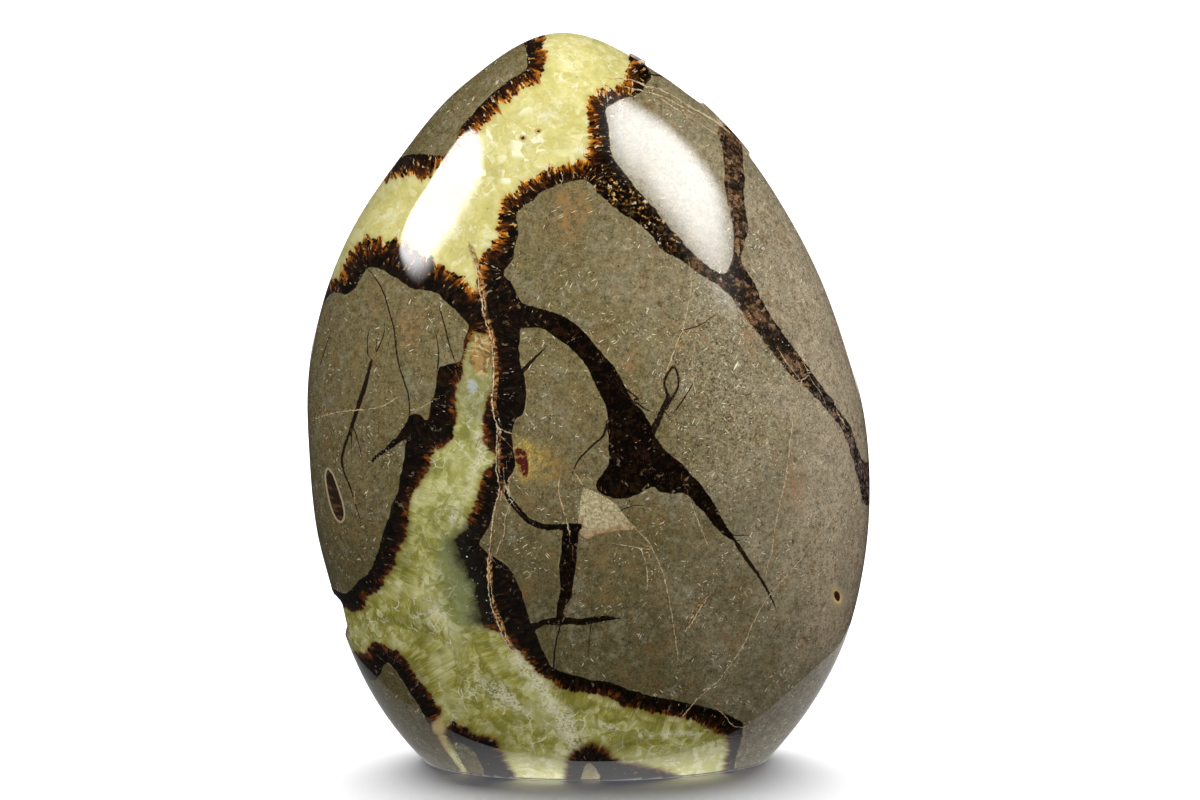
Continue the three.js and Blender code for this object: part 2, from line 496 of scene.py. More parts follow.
glow.visible_camera = False
glow.visible_shadow = False

# %% Room
ROOM_GLOW = 0.05
world = bpy.data.worlds.new("studio")
bpy.context.scene.world = world
empty_tree(world)
room = Wire.node("Background", None, {"Strength": ROOM_GLOW})
white_paper = Wire.node("Background", None, {"Color": (1, 1, 1, 1)})
for_camera = Wire.node("LightPath", output="Is Camera Ray")
surroundings = Wire.node("MixShader", None, {0: for_camera, 1: room, 2: white_paper})
Wire.node("OutputWorld", None, {"Surface": surroundings})
bpy.context.scene.view_settings.view_transform = "Standard"

# %% [markdown]
# ## Drawing the veins
#
# The veins were mapped in two flat charts, one for the front and one for the back, with X to the
# right and Z up as on a drawing laid over the stone. A wide vein is drawn by its wall, as a closed
# line, and the yellow filling by a second one inside it. A thin vein or a crack is drawn by its
# middle line, with half its width as a third number. Lines are drawn with few points, and their
# corners are cut twice, which rounds them as Chaikin's curves do.

# %% Front chart: the wall of the big vein
FRONT_VEIN = [
    (16, 174), (12.3, 161.8), (13.6, 160), (14.4, 158.5), (12.8, 156.8), (11.6, 154.6), (7.1, 154.1),
    (5.6, 152.7), (3.7, 152.4), (4, 150.2), (4.6, 147.7), (4.8, 142.4), (6.3, 140.2), (10, 135.5),
    (15.2, 129.5), (18.1, 125.8), (20.3, 123.6), (22.6, 120.9), (25.1, 118.6), (27.6, 116.7),
    (30.3, 115.4), (31.9, 118.3), (32.6, 123.4), (31.8, 128.4), (30.6, 132.8), (30.3, 135.2),
    (30.6, 138.5), (29.8, 143.5), (28.9, 147), (31, 147.3), (33, 146.2), (34.8, 143), (34.7, 141),
    (35.1, 137.4), (34.8, 131.5), (35.5, 127.2), (35.6, 124.5), (34.3, 120.2), (33.7, 118.8),
    (35, 116.2), (36.5, 114.3), (38, 111.5), (38.9, 108.9), (43, 102.6), (47.1, 97), (51.2, 91.6),
    (55, 86.3), (58.8, 80.7), (60.3, 77), (61.5, 72.5), (64, 70), (69, 67), (69, 61), (62.9, 60),
    (61.7, 64.5), (60.8, 68.5), (59.8, 72.2), (58.5, 76.1), (57.2, 79.7), (53.4, 84.6), (48.9, 89.8),
    (44.7, 93.3), (40.9, 98.2), (37.2, 103.3), (34.9, 105.7), (34.2, 107.5), (32, 110.2),
    (29.8, 112.5), (25.1, 115.6), (20, 119.4), (17.4, 120.5), (15.6, 121.8), (14.4, 124),
    (12.2, 126.3), (8.2, 128.9), (4.8, 131.4), (2.5, 133.4), (1, 135.2), (-0.4, 136.8), (-2.6, 136.6),
    (-8.2, 135.1), (-10.4, 134), (-11.9, 132.2), (-15.9, 129.8), (-15.7, 127.4), (-15.3, 124.8),
    (-16.2, 122.7), (-16, 120.2), (-19, 116.5), (-18.1, 115.4), (-16.6, 114), (-15.2, 110.2),
    (-11.5, 108.8), (-8.2, 108.2), (-5.6, 107.2), (-3.4, 105.8), (-1.2, 104), (0.7, 102), (2.2, 100),
    (4.1, 98), (6, 95.8), (7.8, 92.5), (9.2, 89.5), (11.5, 87), (14.1, 83), (15.2, 80), (17, 77.8),
    (21, 74.4), (24.3, 70.8), (27.6, 66.3), (30, 61.5), (31.4, 59.2), (33.5, 56), (31, 57.6),
    (29.2, 59.2), (27, 61.7), (25.2, 64.3), (23.3, 65.8), (22.2, 68), (17.8, 68), (15.6, 68.5),
    (14.5, 69.8), (10.7, 68), (7.8, 66.8), (5.1, 67.2), (2.9, 68.2), (1.6, 69.8), (1.8, 71.2),
    (3.3, 72.8), (4.6, 74.8), (4.4, 77.6), (4.6, 80.2), (4.2, 83), (4.4, 85.7), (3.8, 87.9),
    (1.4, 92.3), (0, 95.8), (-1.2, 97.5), (-3, 99.4), (-6.4, 102.3), (-10.4, 104.6), (-15, 104.7),
    (-15, 102.8), (-15.5, 100.5), (-14.8, 96.5), (-14.3, 94.7), (-13.7, 90.5), (-13.8, 87.8),
    (-14.4, 85.5), (-16, 85), (-16.8, 82), (-16.5, 78.3), (-16, 75.5), (-16.3, 73.3), (-17.7, 71),
    (-18, 69.5), (-19.4, 67.8), (-20.3, 65.5), (-21.1, 62.7), (-22, 60), (-24.5, 57.2), (-23.8, 55.8),
    (-20, 53), (-18.5, 52.2), (-16.4, 50), (-15.1, 46.5), (-13.9, 42), (-12.3, 37.5), (-10.9, 34),
    (-9.8, 31.8), (-8.3, 28.3), (-4.2, 27), (0.3, 25.4), (5.5, 24.9), (10, 22.7), (16, 20.8),
    (22.5, 19.4), (28, 17.6), (33.6, 14.6), (35.3, 12.8), (34.8, 10), (33.8, 5), (33, 0), (31, -60),
    (-90, -60), (-90, 41.5), (-55.6, 41.2), (-54.5, 42.2), (-52.2, 45.3), (-50.2, 47), (-49.1, 48.3),
    (-48.2, 50.5), (-46.7, 54.5), (-45.7, 58.4), (-44, 62.8), (-43.7, 65), (-42.4, 67), (-42, 70),
    (-40.8, 75), (-40.4, 79.2), (-40, 81.2), (-38.4, 82.4), (-37, 83.5), (-35.3, 84), (-35.1, 86.5),
    (-33.8, 90.5), (-33.2, 95.7), (-31, 96.3), (-28.3, 97), (-27.5, 98.5), (-27.6, 101), (-27, 103),
    (-26.2, 104.6), (-27.5, 106), (-29.6, 108.4), (-32, 110), (-33.4, 112), (-38, 112.2), (-40, 113),
    (-43, 114.7), (-46.5, 116.3), (-49, 116.5), (-50, 115.5), (-52, 112), (-53.5, 110.2), (-56, 110),
    (-57.5, 110), (-60, 107.5), (-62, 104.5), (-72, 100), (-84, 125), (-70, 150), (-52, 143),
    (-45.5, 137.6), (-44, 139.2), (-41.8, 140.4), (-37.2, 141.6), (-34.5, 141), (-32, 141.3),
    (-30.3, 142.8), (-29.4, 145), (-28.4, 147.8), (-25, 151.6), (-20, 156.2), (-17.5, 158.1),
    (-13.6, 160.2), (-13.6, 161.8), (-13.9, 163.8), (-15, 166.5), (-17, 176),
]

# %% Front chart: the limestone left standing in the vein, near the base
FRONT_ISLANDS = [
    [(-90, 19), (-49, 20.5), (-47.3, 24), (-46.3, 26), (-45.2, 27.4), (-43.2, 25), (-41.2, 22),
     (-39.2, 19), (-38.2, 17.2), (-37, 15), (-35.9, 12.8), (-33.5, 8), (-30.5, 3), (-28.8, 0),
     (-27, -20), (-40, -60), (-90, -60)],
    [(-31.5, 9.6), (-27, 8.8), (-25.2, 6), (-23.2, 0), (-22, -24), (-26, -24), (-27.2, 0), (-29, 4)],
    [(-0.8, 5.2), (1.2, 5.2), (3, 0), (4, -16), (-4, -16), (-1.8, 0)],
]

# %% Front chart: the yellow calcite
FRONT_CALCITE = [
    [(-12, 182), (-9.6, 167.6), (-9.8, 165.8), (-9.3, 163.7), (-9.4, 160.5), (-10.4, 158),
     (-14.1, 156.1), (-17.1, 153.6), (-20, 151.3), (-23, 148.2), (-24.3, 146), (-27.2, 145.5),
     (-29.8, 141.9), (-33.1, 138.5), (-36.1, 135.8), (-38.4, 136.6), (-42.2, 135.7), (-46, 133.9),
     (-56, 140), (-82, 128), (-76, 109), (-59.3, 111.5), (-56.7, 114), (-55, 116.5), (-53.8, 119.6),
     (-51.1, 121.8), (-49.4, 123.8), (-48, 122.3), (-46.4, 123.6), (-45.3, 122.2), (-42.6, 123.2),
     (-38, 120.8), (-33, 118.3), (-29.6, 116), (-27.7, 115.7), (-26.6, 114), (-25, 112.1),
     (-24.9, 116), (-24.7, 119.5), (-22, 122), (-20.8, 124), (-20.5, 126.6), (-20.1, 129.5),
     (-19.3, 132), (-16.3, 134.9), (-12.7, 137.1), (-9.3, 139.3), (-5.6, 140.2), (-1.5, 140.7),
     (0.1, 142.6), (0.1, 145), (-0.4, 150), (-0.6, 152.2), (-0.1, 155), (1.7, 156), (5.6, 156.1),
     (8.5, 157.7), (8.2, 159.4), (8.8, 162), (9.3, 164.3), (12, 180)],
    [(-25.3, 102.9), (-26.8, 100.3), (-27.4, 97.5), (-27.5, 93.2), (-29.2, 92.6), (-29.3, 89),
     (-29.5, 86.5), (-29, 84.2), (-29.7, 82), (-29.5, 80.2), (-33.3, 78), (-34.7, 76.4), (-35, 73.8),
     (-37.1, 70.2), (-38.3, 67.9), (-39.6, 66.3), (-39.8, 63.6), (-40, 60.7), (-41.2, 57.2),
     (-41.8, 54.6), (-43.2, 52.6), (-43.1, 51), (-44.4, 48.3), (-46.1, 47.3), (-45.8, 44),
     (-47.7, 43.6), (-49.3, 42.4), (-50.1, 40.6), (-50.9, 38.6), (-54.5, 37.2), (-72, 37),
     (-72, 27), (-51.8, 27), (-50.4, 28.7), (-49.4, 31), (-47.8, 31.9), (-46, 31.4), (-42.3, 29.5),
     (-40.7, 28.2), (-39.1, 25), (-37.3, 23), (-35.3, 21), (-34.5, 18.7), (-33, 17.5), (-33, 16),
     (-34.7, 14.3), (-35.9, 12.8), (-33.5, 8), (-30.5, 3), (-28.8, 0), (-28, -20), (-27, -20),
     (-27.2, 0), (-29, 4), (-31, 8.5), (-32.4, 12), (-31, 14.3), (-30, 14.9), (-27.6, 13.3),
     (-25.3, 11.9), (-22.7, 11.5), (-20.3, 11), (-20, 8.5), (-18.8, 6), (-17.3, 3), (-15.8, 0),
     (-13, -40), (-7, -40), (-5.5, 0), (-5.3, 4), (-4.8, 6), (-3, 8.3), (-2, 9.8), (0, 10.3),
     (2, 10.1), (3.8, 9.5), (5, 7.5), (6.8, 5.8), (10, 4.8), (15, 3.3), (19, 1.5), (21, 0),
     (22, -40), (29, -40), (30.8, 0), (31.2, 5), (31.5, 9.5), (31, 10.5), (29.5, 11), (25.6, 13.6),
     (21.7, 15.5), (17.1, 16.9), (12.9, 18), (7.8, 19.2), (5.5, 20.5), (3.3, 21.9), (-2, 22.4),
     (-6.4, 23.2), (-7.9, 24.8), (-9.7, 26), (-12.7, 27.9), (-13.1, 29.8), (-14.9, 31.3),
     (-16.4, 33.2), (-19, 36.3), (-24.3, 37.7), (-23.6, 40.2), (-24.3, 42.8), (-25.4, 45),
     (-25, 47.5), (-26.5, 49.4), (-27.2, 51.6), (-28.3, 53.8), (-29.1, 55.5), (-29.5, 57),
     (-28.3, 58.5), (-26.9, 59.4), (-26.8, 62.4), (-25.3, 64.6), (-24.5, 67.2), (-24.3, 70.2),
     (-23, 72.8), (-21.5, 74.3), (-20.4, 75), (-20.5, 77), (-22.3, 78.4), (-23.8, 80.2),
     (-23, 81.3), (-23.2, 84.3), (-22.6, 87.7), (-21.2, 91), (-20.9, 95.8), (-21.1, 99.5),
     (-21.6, 102.4), (-23.9, 103)],
]

# %% Front chart: thin veins and dark cracks, with half their width
FRONT_THIN_VEINS = [
    [(-18.7, 70.5, 0.6), (-18, 67.5, 0.5), (-16, 65, 0.55), (-13.5, 62.3, 0.6), (-11, 60.9, 0.6),
     (-8.5, 60.6, 0.6), (-5, 60.8, 0.8), (-2.2, 60.7, 0.9)],
    [(-3.8, 60, 1.7), (-4.2, 56, 1.8), (-4.6, 51, 1.8), (-4.8, 48, 1.4), (-5, 45, 1.4),
     (-6, 43, 1.0), (-6.4, 41, 0.8), (-6.2, 39.3, 0.8)],
    [(-12.5, 37.8, 0.8), (-9.8, 39, 0.7), (-7.2, 39.3, 0.8), (-4.2, 39.4, 0.8), (-1.2, 39, 0.75),
     (1.1, 39.6, 0.65), (3.7, 39.8, 0.7), (6.6, 40.1, 0.4), (9.4, 40.5, 0.05)],
    [(-38, 83, 2.2), (-40.4, 80.9, 1.1), (-42, 79.5, 0.6), (-44.7, 77, 0.5), (-47.8, 74.5, 0.4),
     (-49.3, 71.7, 0.1)],
]
FRONT_DARK_CRACKS = [
    [(33, 56.3, 0.5), (35, 53, 0.45), (36.9, 50.3, 0.4), (38.4, 48, 0.35), (39.9, 45.3, 0.3),
     (41, 43, 0.25), (41.9, 41, 0.1)],
    [(-48.7, 115.5, 0.15), (-46.5, 113, 0.18), (-45.3, 110.7, 0.18), (-44.2, 107, 0.16),
     (-43, 103.4, 0.2), (-42.7, 99.6, 0.22), (-42, 95.5, 0.2), (-40.8, 92.3, 0.22),
     (-39.7, 89, 0.2), (-39.5, 85.4, 0.17), (-40.2, 82, 0.15)],
    [(-45.3, 103, 0.1), (-45.8, 101, 0.12), (-47, 98.6, 0.15), (-48.5, 95.8, 0.3), (-49.6, 91, 0.5),
     (-51, 87, 0.5), (-52.1, 83.6, 0.45), (-53.3, 80, 0.35), (-54.7, 76.6, 0.3), (-55.5, 73.2, 0.3),
     (-54.8, 70.2, 0.25), (-53.3, 67.4, 0.22), (-52.4, 64, 0.15), (-51.3, 60.8, 0.1)],
    [(-49.2, 101.8, 0.12), (-49.2, 96.6, 0.15)],
    [(-33.6, 102.5, 0.12), (-33, 99, 0.15), (-33.2, 95.5, 0.18)],
    [(-32.7, 108, 0.15), (-31.5, 103.8, 0.2), (-30.5, 99.8, 0.15), (-29.6, 97.6, 0.15)],
    [(-52.2, 80.6, 0.15), (-50.8, 75.9, 0.1)],
    [(-58.5, 100, 0.12), (-60.5, 94, 0.12)],
    [(-14.4, 95.2, 0.5), (-12.3, 97.5, 0.35), (-9.7, 100, 0.1)],
    [(18.9, 96.6, 0.2), (17.4, 94.5, 0.3), (16.6, 92.4, 0.3), (17.2, 90.8, 0.3), (17.6, 89.6, 0.4),
     (16.6, 87.2, 0.6), (15.4, 84.6, 0.75), (14.2, 82, 0.9), (13.4, 80, 0.9)],
    [(17.2, 87, 0.4), (18, 88.6, 0.35), (19.3, 90.4, 0.3), (20.1, 92.6, 0.3), (19.7, 94.5, 0.25),
     (18.9, 96.6, 0.2)],
    [(23.3, 92.6, 0.1), (22.2, 90.8, 0.15), (20.6, 88.4, 0.2), (19.4, 86.6, 0.15)],
    [(8.6, 91.2, 0.3), (10.4, 89.6, 0.2), (11.8, 89, 0.05)],
    [(10.6, 88.4, 0.3), (12.6, 86.8, 0.2), (14.2, 86.2, 0.05)],
    [(20.8, 103.8, 0.12), (25, 104.9, 0.12), (27.3, 106.6, 0.1)],
    [(4, 83, 0.4), (3.4, 81, 0.25), (1.5, 79.5, 0.22), (-0.4, 77.6, 0.22), (-2.2, 75.8, 0.2),
     (-3.1, 73.5, 0.12)],
    [(-6.2, 38.3, 0.2), (-7.5, 33.3, 0.22), (-7.7, 28.7, 0.2)],
    [(0.5, 38.4, 0.15), (0.1, 32.3, 0.1)],
    [(14.3, 158.7, 0.25), (17, 158.4, 0.2), (20, 156.6, 0.2), (23, 154.3, 0.1)],
    [(7.5, 64.6, 0.12), (10.5, 65.7, 0.12), (13.2, 65.3, 0.06)],
    [(31.5, 58.4, 0.2), (33.5, 58.1, 0.12), (36, 58.1, 0.05)],
]

# %% Front chart: cream and pale hairlines
FRONT_PALE_LINES = [
    [(-26.2, 121.2, 0.35), (-24.6, 116.6, 0.4), (-23.8, 112.2, 0.4), (-23.3, 108, 0.35),
     (-22.3, 104.8, 0.35), (-21.2, 101, 0.35), (-20.9, 97, 0.35), (-20.8, 92, 0.4), (-21.5, 89, 0.4),
     (-20.8, 85.5, 0.35), (-20, 83.5, 0.35), (-20.2, 79, 0.3), (-20.4, 74, 0.3), (-19.8, 70.5, 0.3),
     (-19.5, 68.5, 0.35), (-20.8, 65, 0.35), (-21.2, 61, 0.35), (-21.7, 57, 0.3), (-22.3, 52, 0.3),
     (-22.2, 46, 0.35), (-21.5, 42, 0.35), (-20, 38.5, 0.45), (-19.3, 35.5, 0.5), (-17, 32, 0.3)],
    [(-20.4, 54.5, 0.12), (-19.6, 57, 0.12), (-18.4, 59, 0.12), (-18.6, 62.5, 0.1),
     (-17.0, 66.3, 0.12), (-17.6, 68.5, 0.12), (-17.6, 70.3, 0.12)],
    [(-20, 83, 0.2), (-18.5, 82, 0.2), (-16.8, 81.4, 0.2)],
    [(-16.6, 72.6, 0.12), (-17.8, 71.2, 0.18), (-18.2, 69.5, 0.18), (-17.6, 67.5, 0.15), (-16.6, 66, 0.15)],
    [(-61.5, 81.5, 0.2), (-59, 83, 0.2), (-55.6, 84.3, 0.18), (-52.1, 85, 0.2), (-48.8, 85.5, 0.15),
     (-45.2, 86.6, 0.15), (-42.2, 88.7, 0.1)],
    [(-38.2, 85.9, 0.1), (-34.8, 88, 0.12)],
    [(22.4, 117.4, 0.13), (23, 113.8, 0.15), (22.2, 110.2, 0.15), (21.7, 107, 0.15),
     (20.7, 103.8, 0.15)],
    [(20.9, 103.8, 0.13), (23.7, 101.2, 0.13), (23, 98, 0.13), (22.9, 94, 0.12), (23.7, 90.3, 0.1)],
    [(47.6, 91.4, 0.12), (46.1, 86.2, 0.13), (45.4, 81.5, 0.13), (44.8, 77.8, 0.15), (44.1, 70.5, 0.18),
     (42.9, 66.4, 0.18), (42.3, 63.4, 0.16), (41.6, 60, 0.15), (41.2, 56.6, 0.15), (41, 53.6, 0.14),
     (39.9, 51.4, 0.12), (39.7, 49.2, 0.1)],
    [(58, 63.8, 0.1), (55.3, 60.4, 0.12), (53, 58, 0.16), (51.1, 56.5, 0.16), (48.9, 54, 0.16),
     (47, 51, 0.16), (45.1, 49, 0.15), (43.1, 47, 0.15), (41.1, 44.5, 0.16), (39.2, 42.5, 0.16),
     (38.1, 40, 0.15), (36.6, 37.3, 0.16), (34.9, 32.6, 0.16), (32.7, 29.5, 0.16), (30.3, 25.7, 0.18),
     (28.4, 23.6, 0.18), (25.3, 21.3, 0.2), (23, 18.5, 0.2), (21.2, 16.3, 0.2)],
    [(10.3, 60.4, 0.13), (13.3, 57.5, 0.18), (14.4, 55.3, 0.15), (16.3, 51, 0.15), (17.4, 47.1, 0.15),
     (18.2, 42.5, 0.15), (19.3, 35.8, 0.13), (20, 30.6, 0.1)],
    [(6.6, 56.8, 0.1), (13.3, 55.6, 0.12)],
    [(11.6, 56, 0.12), (12.7, 53, 0.14), (13.2, 49, 0.15), (13, 46.5, 0.1)],
    [(22.9, 65.5, 0.12), (24.4, 61.5, 0.14), (25.8, 58, 0.12), (26.6, 56, 0.1)],
    [(22.9, 38.3, 0.3), (24.5, 41, 0.35), (26.3, 43.8, 0.25)],
    [(-6.3, 71.8, 0.12), (-6.7, 69.5, 0.15), (-5.9, 65.6, 0.16), (-4.8, 62.7, 0.16), (-4.3, 60, 0.2)],
    [(-2.9, 72.8, 0.2), (-1.2, 70.2, 0.15)],
    [(29, 17.5, 0.12), (31, 15.4, 0.12), (32.6, 12.7, 0.14), (34.6, 12.3, 0.14)],
    [(6, 158.2, 0.14), (8.9, 158.1, 0.18), (11.6, 157.2, 0.2), (13.3, 156.3, 0.2), (15.5, 156, 0.2),
     (17.9, 154.8, 0.2), (20.6, 153.2, 0.18), (22.8, 151.6, 0.2), (25.1, 150.4, 0.18),
     (27.4, 149, 0.18), (29.7, 147.4, 0.15), (32, 145.5, 0.15)],
    [(24, 150, 0.14), (20, 152.4, 0.14), (16, 154.6, 0.16), (12, 155.4, 0.16), (8, 156.6, 0.12)],
    [(17, 153, 0.1), (20.5, 151, 0.13), (24.5, 148.4, 0.12), (29, 145.4, 0.1)],
    [(42.6, 98.3, 0.08), (44, 96, 0.1), (45.6, 93.9, 0.1), (47.4, 91.6, 0.1)],
    [(47.2, 91.4, 0.12), (48.6, 92.1, 0.12), (49.8, 93.5, 0.1), (50.7, 94.3, 0.06)],
    [(48.1, 95.2, 0.06), (49.3, 93.3, 0.08), (49.7, 91.6, 0.08), (51.1, 89.9, 0.08), (52.5, 87.8, 0.08),
     (53.2, 85.9, 0.05)],
    [(56.1, 83.3, 0.14), (57.8, 80.8, 0.14)],
    [(20.8, 103.7, 0.22), (19.3, 100.4, 0.28), (17.8, 96.3, 0.25), (16.4, 93.8, 0.2)],
    [(-52.2, 67, 0.15), (-52.6, 64.8, 0.15)],
]

# %% Back chart: veins, with half their width and half the width of their yellow filling
BACK_VEINS = [
    [(-2, 178, 14, 10), (0, 166, 13, 9.6), (4, 150, 12, 8.6), (12, 132, 10.5, 7.4), (9, 112, 8.5, 5.6),
     (-3, 96, 7.5, 4.4), (-14, 80, 8.5, 5.4), (-12, 62, 10.5, 7.4), (2, 44, 12.5, 9.2),
     (9, 26, 15, 11.8), (6, 8, 19, 16), (5, -30, 20, 17)],
    [(6, 142, 8, 4), (-14, 131, 10, 6.4), (-32, 123, 11, 7.4), (-48, 121, 14, 9.6), (-60, 122, 17, 11.5),
     (-80, 124, 18, 12)],
    [(-10, 56, 6, 2.6), (-28, 45, 5, 2.2), (-43, 36, 6, 3.4), (-56, 33.5, 7.2, 5), (-75, 33, 7, 5)],
    [(10, 116, 4, 0), (26, 110, 3, 0), (40, 97, 2.6, 0), (52, 83, 2.1, 0), (63, 66, 2.3, 0),
     (72, 62, 2.4, 0)],
    [(13, 138, 4, 0), (24, 141, 3, 0), (34, 143, 2.5, 0), (44, 146, 2.2, 0)],
    [(-14, 84, 4, 0), (-30, 88, 2.6, 0), (-44, 84, 2.0, 0), (-54, 74, 0.9, 0), (-58, 66, 0.2, 0)],
    [(-8, 97, 3.5, 0), (-22, 106, 2.2, 0), (-32, 112, 1.4, 0)],
    [(4, 46, 4, 0), (18, 54, 2.8, 0), (30, 62, 2.2, 0), (38, 76, 1.6, 0), (40, 92, 1.2, 0)],
    [(30, 62, 1.8, 0), (42, 56, 1.4, 0), (50, 46, 0.8, 0), (54, 38, 0.1, 0)],
    [(14, 24, 3, 0), (30, 28, 2.2, 0), (40, 24, 1.4, 0), (47, 26, 0.2, 0)],
]
BACK_CRACKS = [
    [(22, 126, 0.4), (34, 122, 0.3), (46, 114, 0.2), (54, 110, 0.1)],
    [(-20, 78, 0.35), (-34, 70, 0.3), (-40, 60, 0.25), (-38, 50, 0.12)],
    [(24, 96, 0.15), (22, 84, 0.3), (14, 76, 0.35), (2, 72, 0.3)],
    [(-24, 150, 0.2), (-20, 142, 0.3), (-18, 134, 0.3)],
    [(50, 84, 0.3), (46, 70, 0.25), (50, 58, 0.15)],
]
BACK_PALE_LINES = [
    [(-46, 98, 0.12), (-36, 102, 0.16), (-24, 98, 0.15), (-18, 90, 0.12)],
    [(30, 84, 0.12), (28, 70, 0.16), (20, 60, 0.15), (18, 46, 0.15), (24, 34, 0.12)],
    [(-40, 62, 0.14), (-30, 58, 0.16), (-22, 48, 0.14), (-26, 34, 0.1)],
    [(28, 134, 0.12), (32, 124, 0.15), (30, 114, 0.12)],
]

# %% Front chart: crumbly white crystals in the calcite, with half the width of the trail
FRONT_CRUST = [
    [(-17.5, 34, 0.5), (-16, 31, 1.6), (-13.5, 27.5, 2.4), (-10.5, 23.5, 2.2), (-7.5, 19, 2.4),
     (-4.5, 14, 2.8), (-3, 9.5, 2.6), (-6, 5, 3.0), (-9, 1, 3.4), (-9, -20, 3.4)],
    [(-25, 25, 1.0), (-20.5, 23.5, 2.6), (-17.5, 20.5, 2.2), (-13.5, 17, 1.2)],
    [(-27.5, 67, 0.6), (-29, 64, 1.4), (-30.5, 60, 0.8)],
    [(-23.5, 86, 0.6), (-24, 82, 1.4), (-23.5, 77.5, 1.6), (-25.5, 72.5, 1.2), (-27, 69, 0.8)],
    [(-36, 37, 0.3), (-34, 41, 1.2), (-32, 45, 0.6)],
    [(12, 11, 0.4), (18, 12, 1.2), (24, 11.5, 0.6)],
    [(-12, 148, 0.6), (-9, 151.5, 1.8), (-6, 150, 1.0)],
    [(-18, 143, 0.4), (-14.5, 144.5, 1.6), (-12, 142, 0.8)],
]

# %% Front chart: two small hollows in the calcite
CAVITIES = [(-14.5, 145.6), (-11.1, 147.1)]

# %% Front chart: pinkish stains in the limestone, with their size
BLUSHES = [(-47, 110, 3), (-40, 104, 5), (9, 97, 3), (36, 101, 4), (-4, 128, 4), (46, 68, 5)]

# %% Front chart: patches in the limestone
FOSSIL = [
    (-58.8, 71.2), (-57.4, 69.6), (-56.2, 66.4), (-55, 62.8), (-54.8, 59.6), (-56.4, 58.4), (-58.2, 61.6),
    (-59, 65.2), (-59.6, 69),
]
ROUGH_PATCH = [
    (-1.2, 70), (3.3, 67.6), (6.2, 66), (7.3, 64.2), (9, 62), (10.7, 60), (8, 60), (5.1, 59.7), (1.1, 58.9),
    (0.1, 57.7), (-2.2, 59.3), (-2.2, 63.1), (-1.7, 66.8),
]
OCHRE_PATCH = [
    (-16.9, 82), (-11.9, 80), (-8.2, 78.8), (-5, 76), (-2, 73.5), (-4.6, 71.5), (-9.3, 70), (-14.4, 69.7),
    (-17, 72),
]
RED_SPOT = [(-15.6, 78.8), (-13.8, 77.6), (-13, 75), (-13, 72.6), (-14.2, 71.4), (-15.4, 73.4), (-16.4, 76.6)]

# %% [markdown]
# ## Measuring from the drawing
#
# A material can't read a line drawing, but it can read numbers stored on the points of the mesh.
# So each point of the skin is measured against the drawn lines: how far it is from the nearest
# one, on which side, and where the nearest place on that line lies. A texture image could hold
# the same, but numbers on the mesh stay sharp where a picture would show its pixels.
#
# Places in a chart are kept as complex numbers, because turning and measuring them is then
# one multiplication.


# %% Rounded corners
def cut_corners(line, closed, times=2):
    """Chaikin's curve: each pass replaces every corner by two points a quarter along its sides."""
    line = np.array(line, float)
    for _ in range(times):
        after = np.roll(line, -1, axis=0) if closed else line[1:]
        before = line if closed else line[:-1]
        pair = np.stack([before * 0.75 + after * 0.25, before * 0.25 + after * 0.75], axis=1)
        cut = pair.reshape(-1, line.shape[1])
        line = cut if closed else np.vstack([line[:1], cut, line[-1:]])
    return line


# %% Distance to a line
def measure(spots, line, closed=False):
    """Distance, side (+1 is left), nearest place and third and fourth numbers of a line."""
    line = cut_corners(line, closed)
    ends = np.vstack([line, line[:1]]) if closed else line
    nearest = np.full(len(spots), 1e9)
    side = np.ones(len(spots))
    foot = np.zeros(len(spots), complex)
    widths = np.zeros((len(spots), line.shape[1] - 2))
    inside = np.zeros(len(spots), bool)
    for first, last in zip(ends[:-1], ends[1:]):
        a, b = complex(*first[:2]), complex(*last[:2])
        edge = b - a
        if abs(edge) < 1e-9:
            continue
        offset = spots - a
        product = offset * edge.conjugate()
        share = np.clip(product.real / abs(edge) ** 2, 0, 1)
        gap = offset - share * edge
        away = gap.real**2 + gap.imag**2
        closer = away < nearest
        nearest[closer] = away[closer]
        side[closer] = np.sign(product.imag[closer])
        foot[closer] = a + share[closer] * edge
        widths[closer] = first[2:] + share[closer, None] * (last[2:] - first[2:])
        if closed:
            crosses = (a.imag > spots.imag) != (b.imag > spots.imag)
            if edge.imag:
                crosses &= spots.real < a.real + (spots.imag - a.imag) * edge.real / edge.imag
                inside ^= crosses
    if closed:
        side = np.where(inside, -1.0, 1.0)
    return np.sqrt(nearest), side, foot, widths


def area_distance(spots, outline):
    """Distance to the edge of a closed shape, negative inside it, and the nearest place on it."""
    away, side, foot, _ = measure(spots, outline, closed=True)
    return away * side, foot


# %% [markdown]
# ## Laying the charts on the skin
#
# Seen from the front a chart is simply X and Z. Past the edge of the stone it is rolled on: the
# further back a point lies, the further out from the heart it is looked up in the front chart,
# so that a vein runs on over the edge. Behind the edge, the back chart takes over. A slow swirl
# keeps the bands on the sides from running dead straight.

# %% Charts
FRONT_END = 6.0  # mm behind the middle where the front chart's veins begin to taper away
FRONT_TAPER, BACK_TAPER = 1.2, 1.5
SWIRL = 5.0  # mm
SWIRL_START, SWIRL_RUN = -4, 24  # mm behind the middle where it begins, and over which it grows
TINY = 1e-6
FAN = 3.0  # mm from the wall at which the crystals of a sheaf are told apart

points = coordinates(skin)
x, y, z = points.T
flat = x + 1j * z
heart = complex(HEART[0], HEART[2])
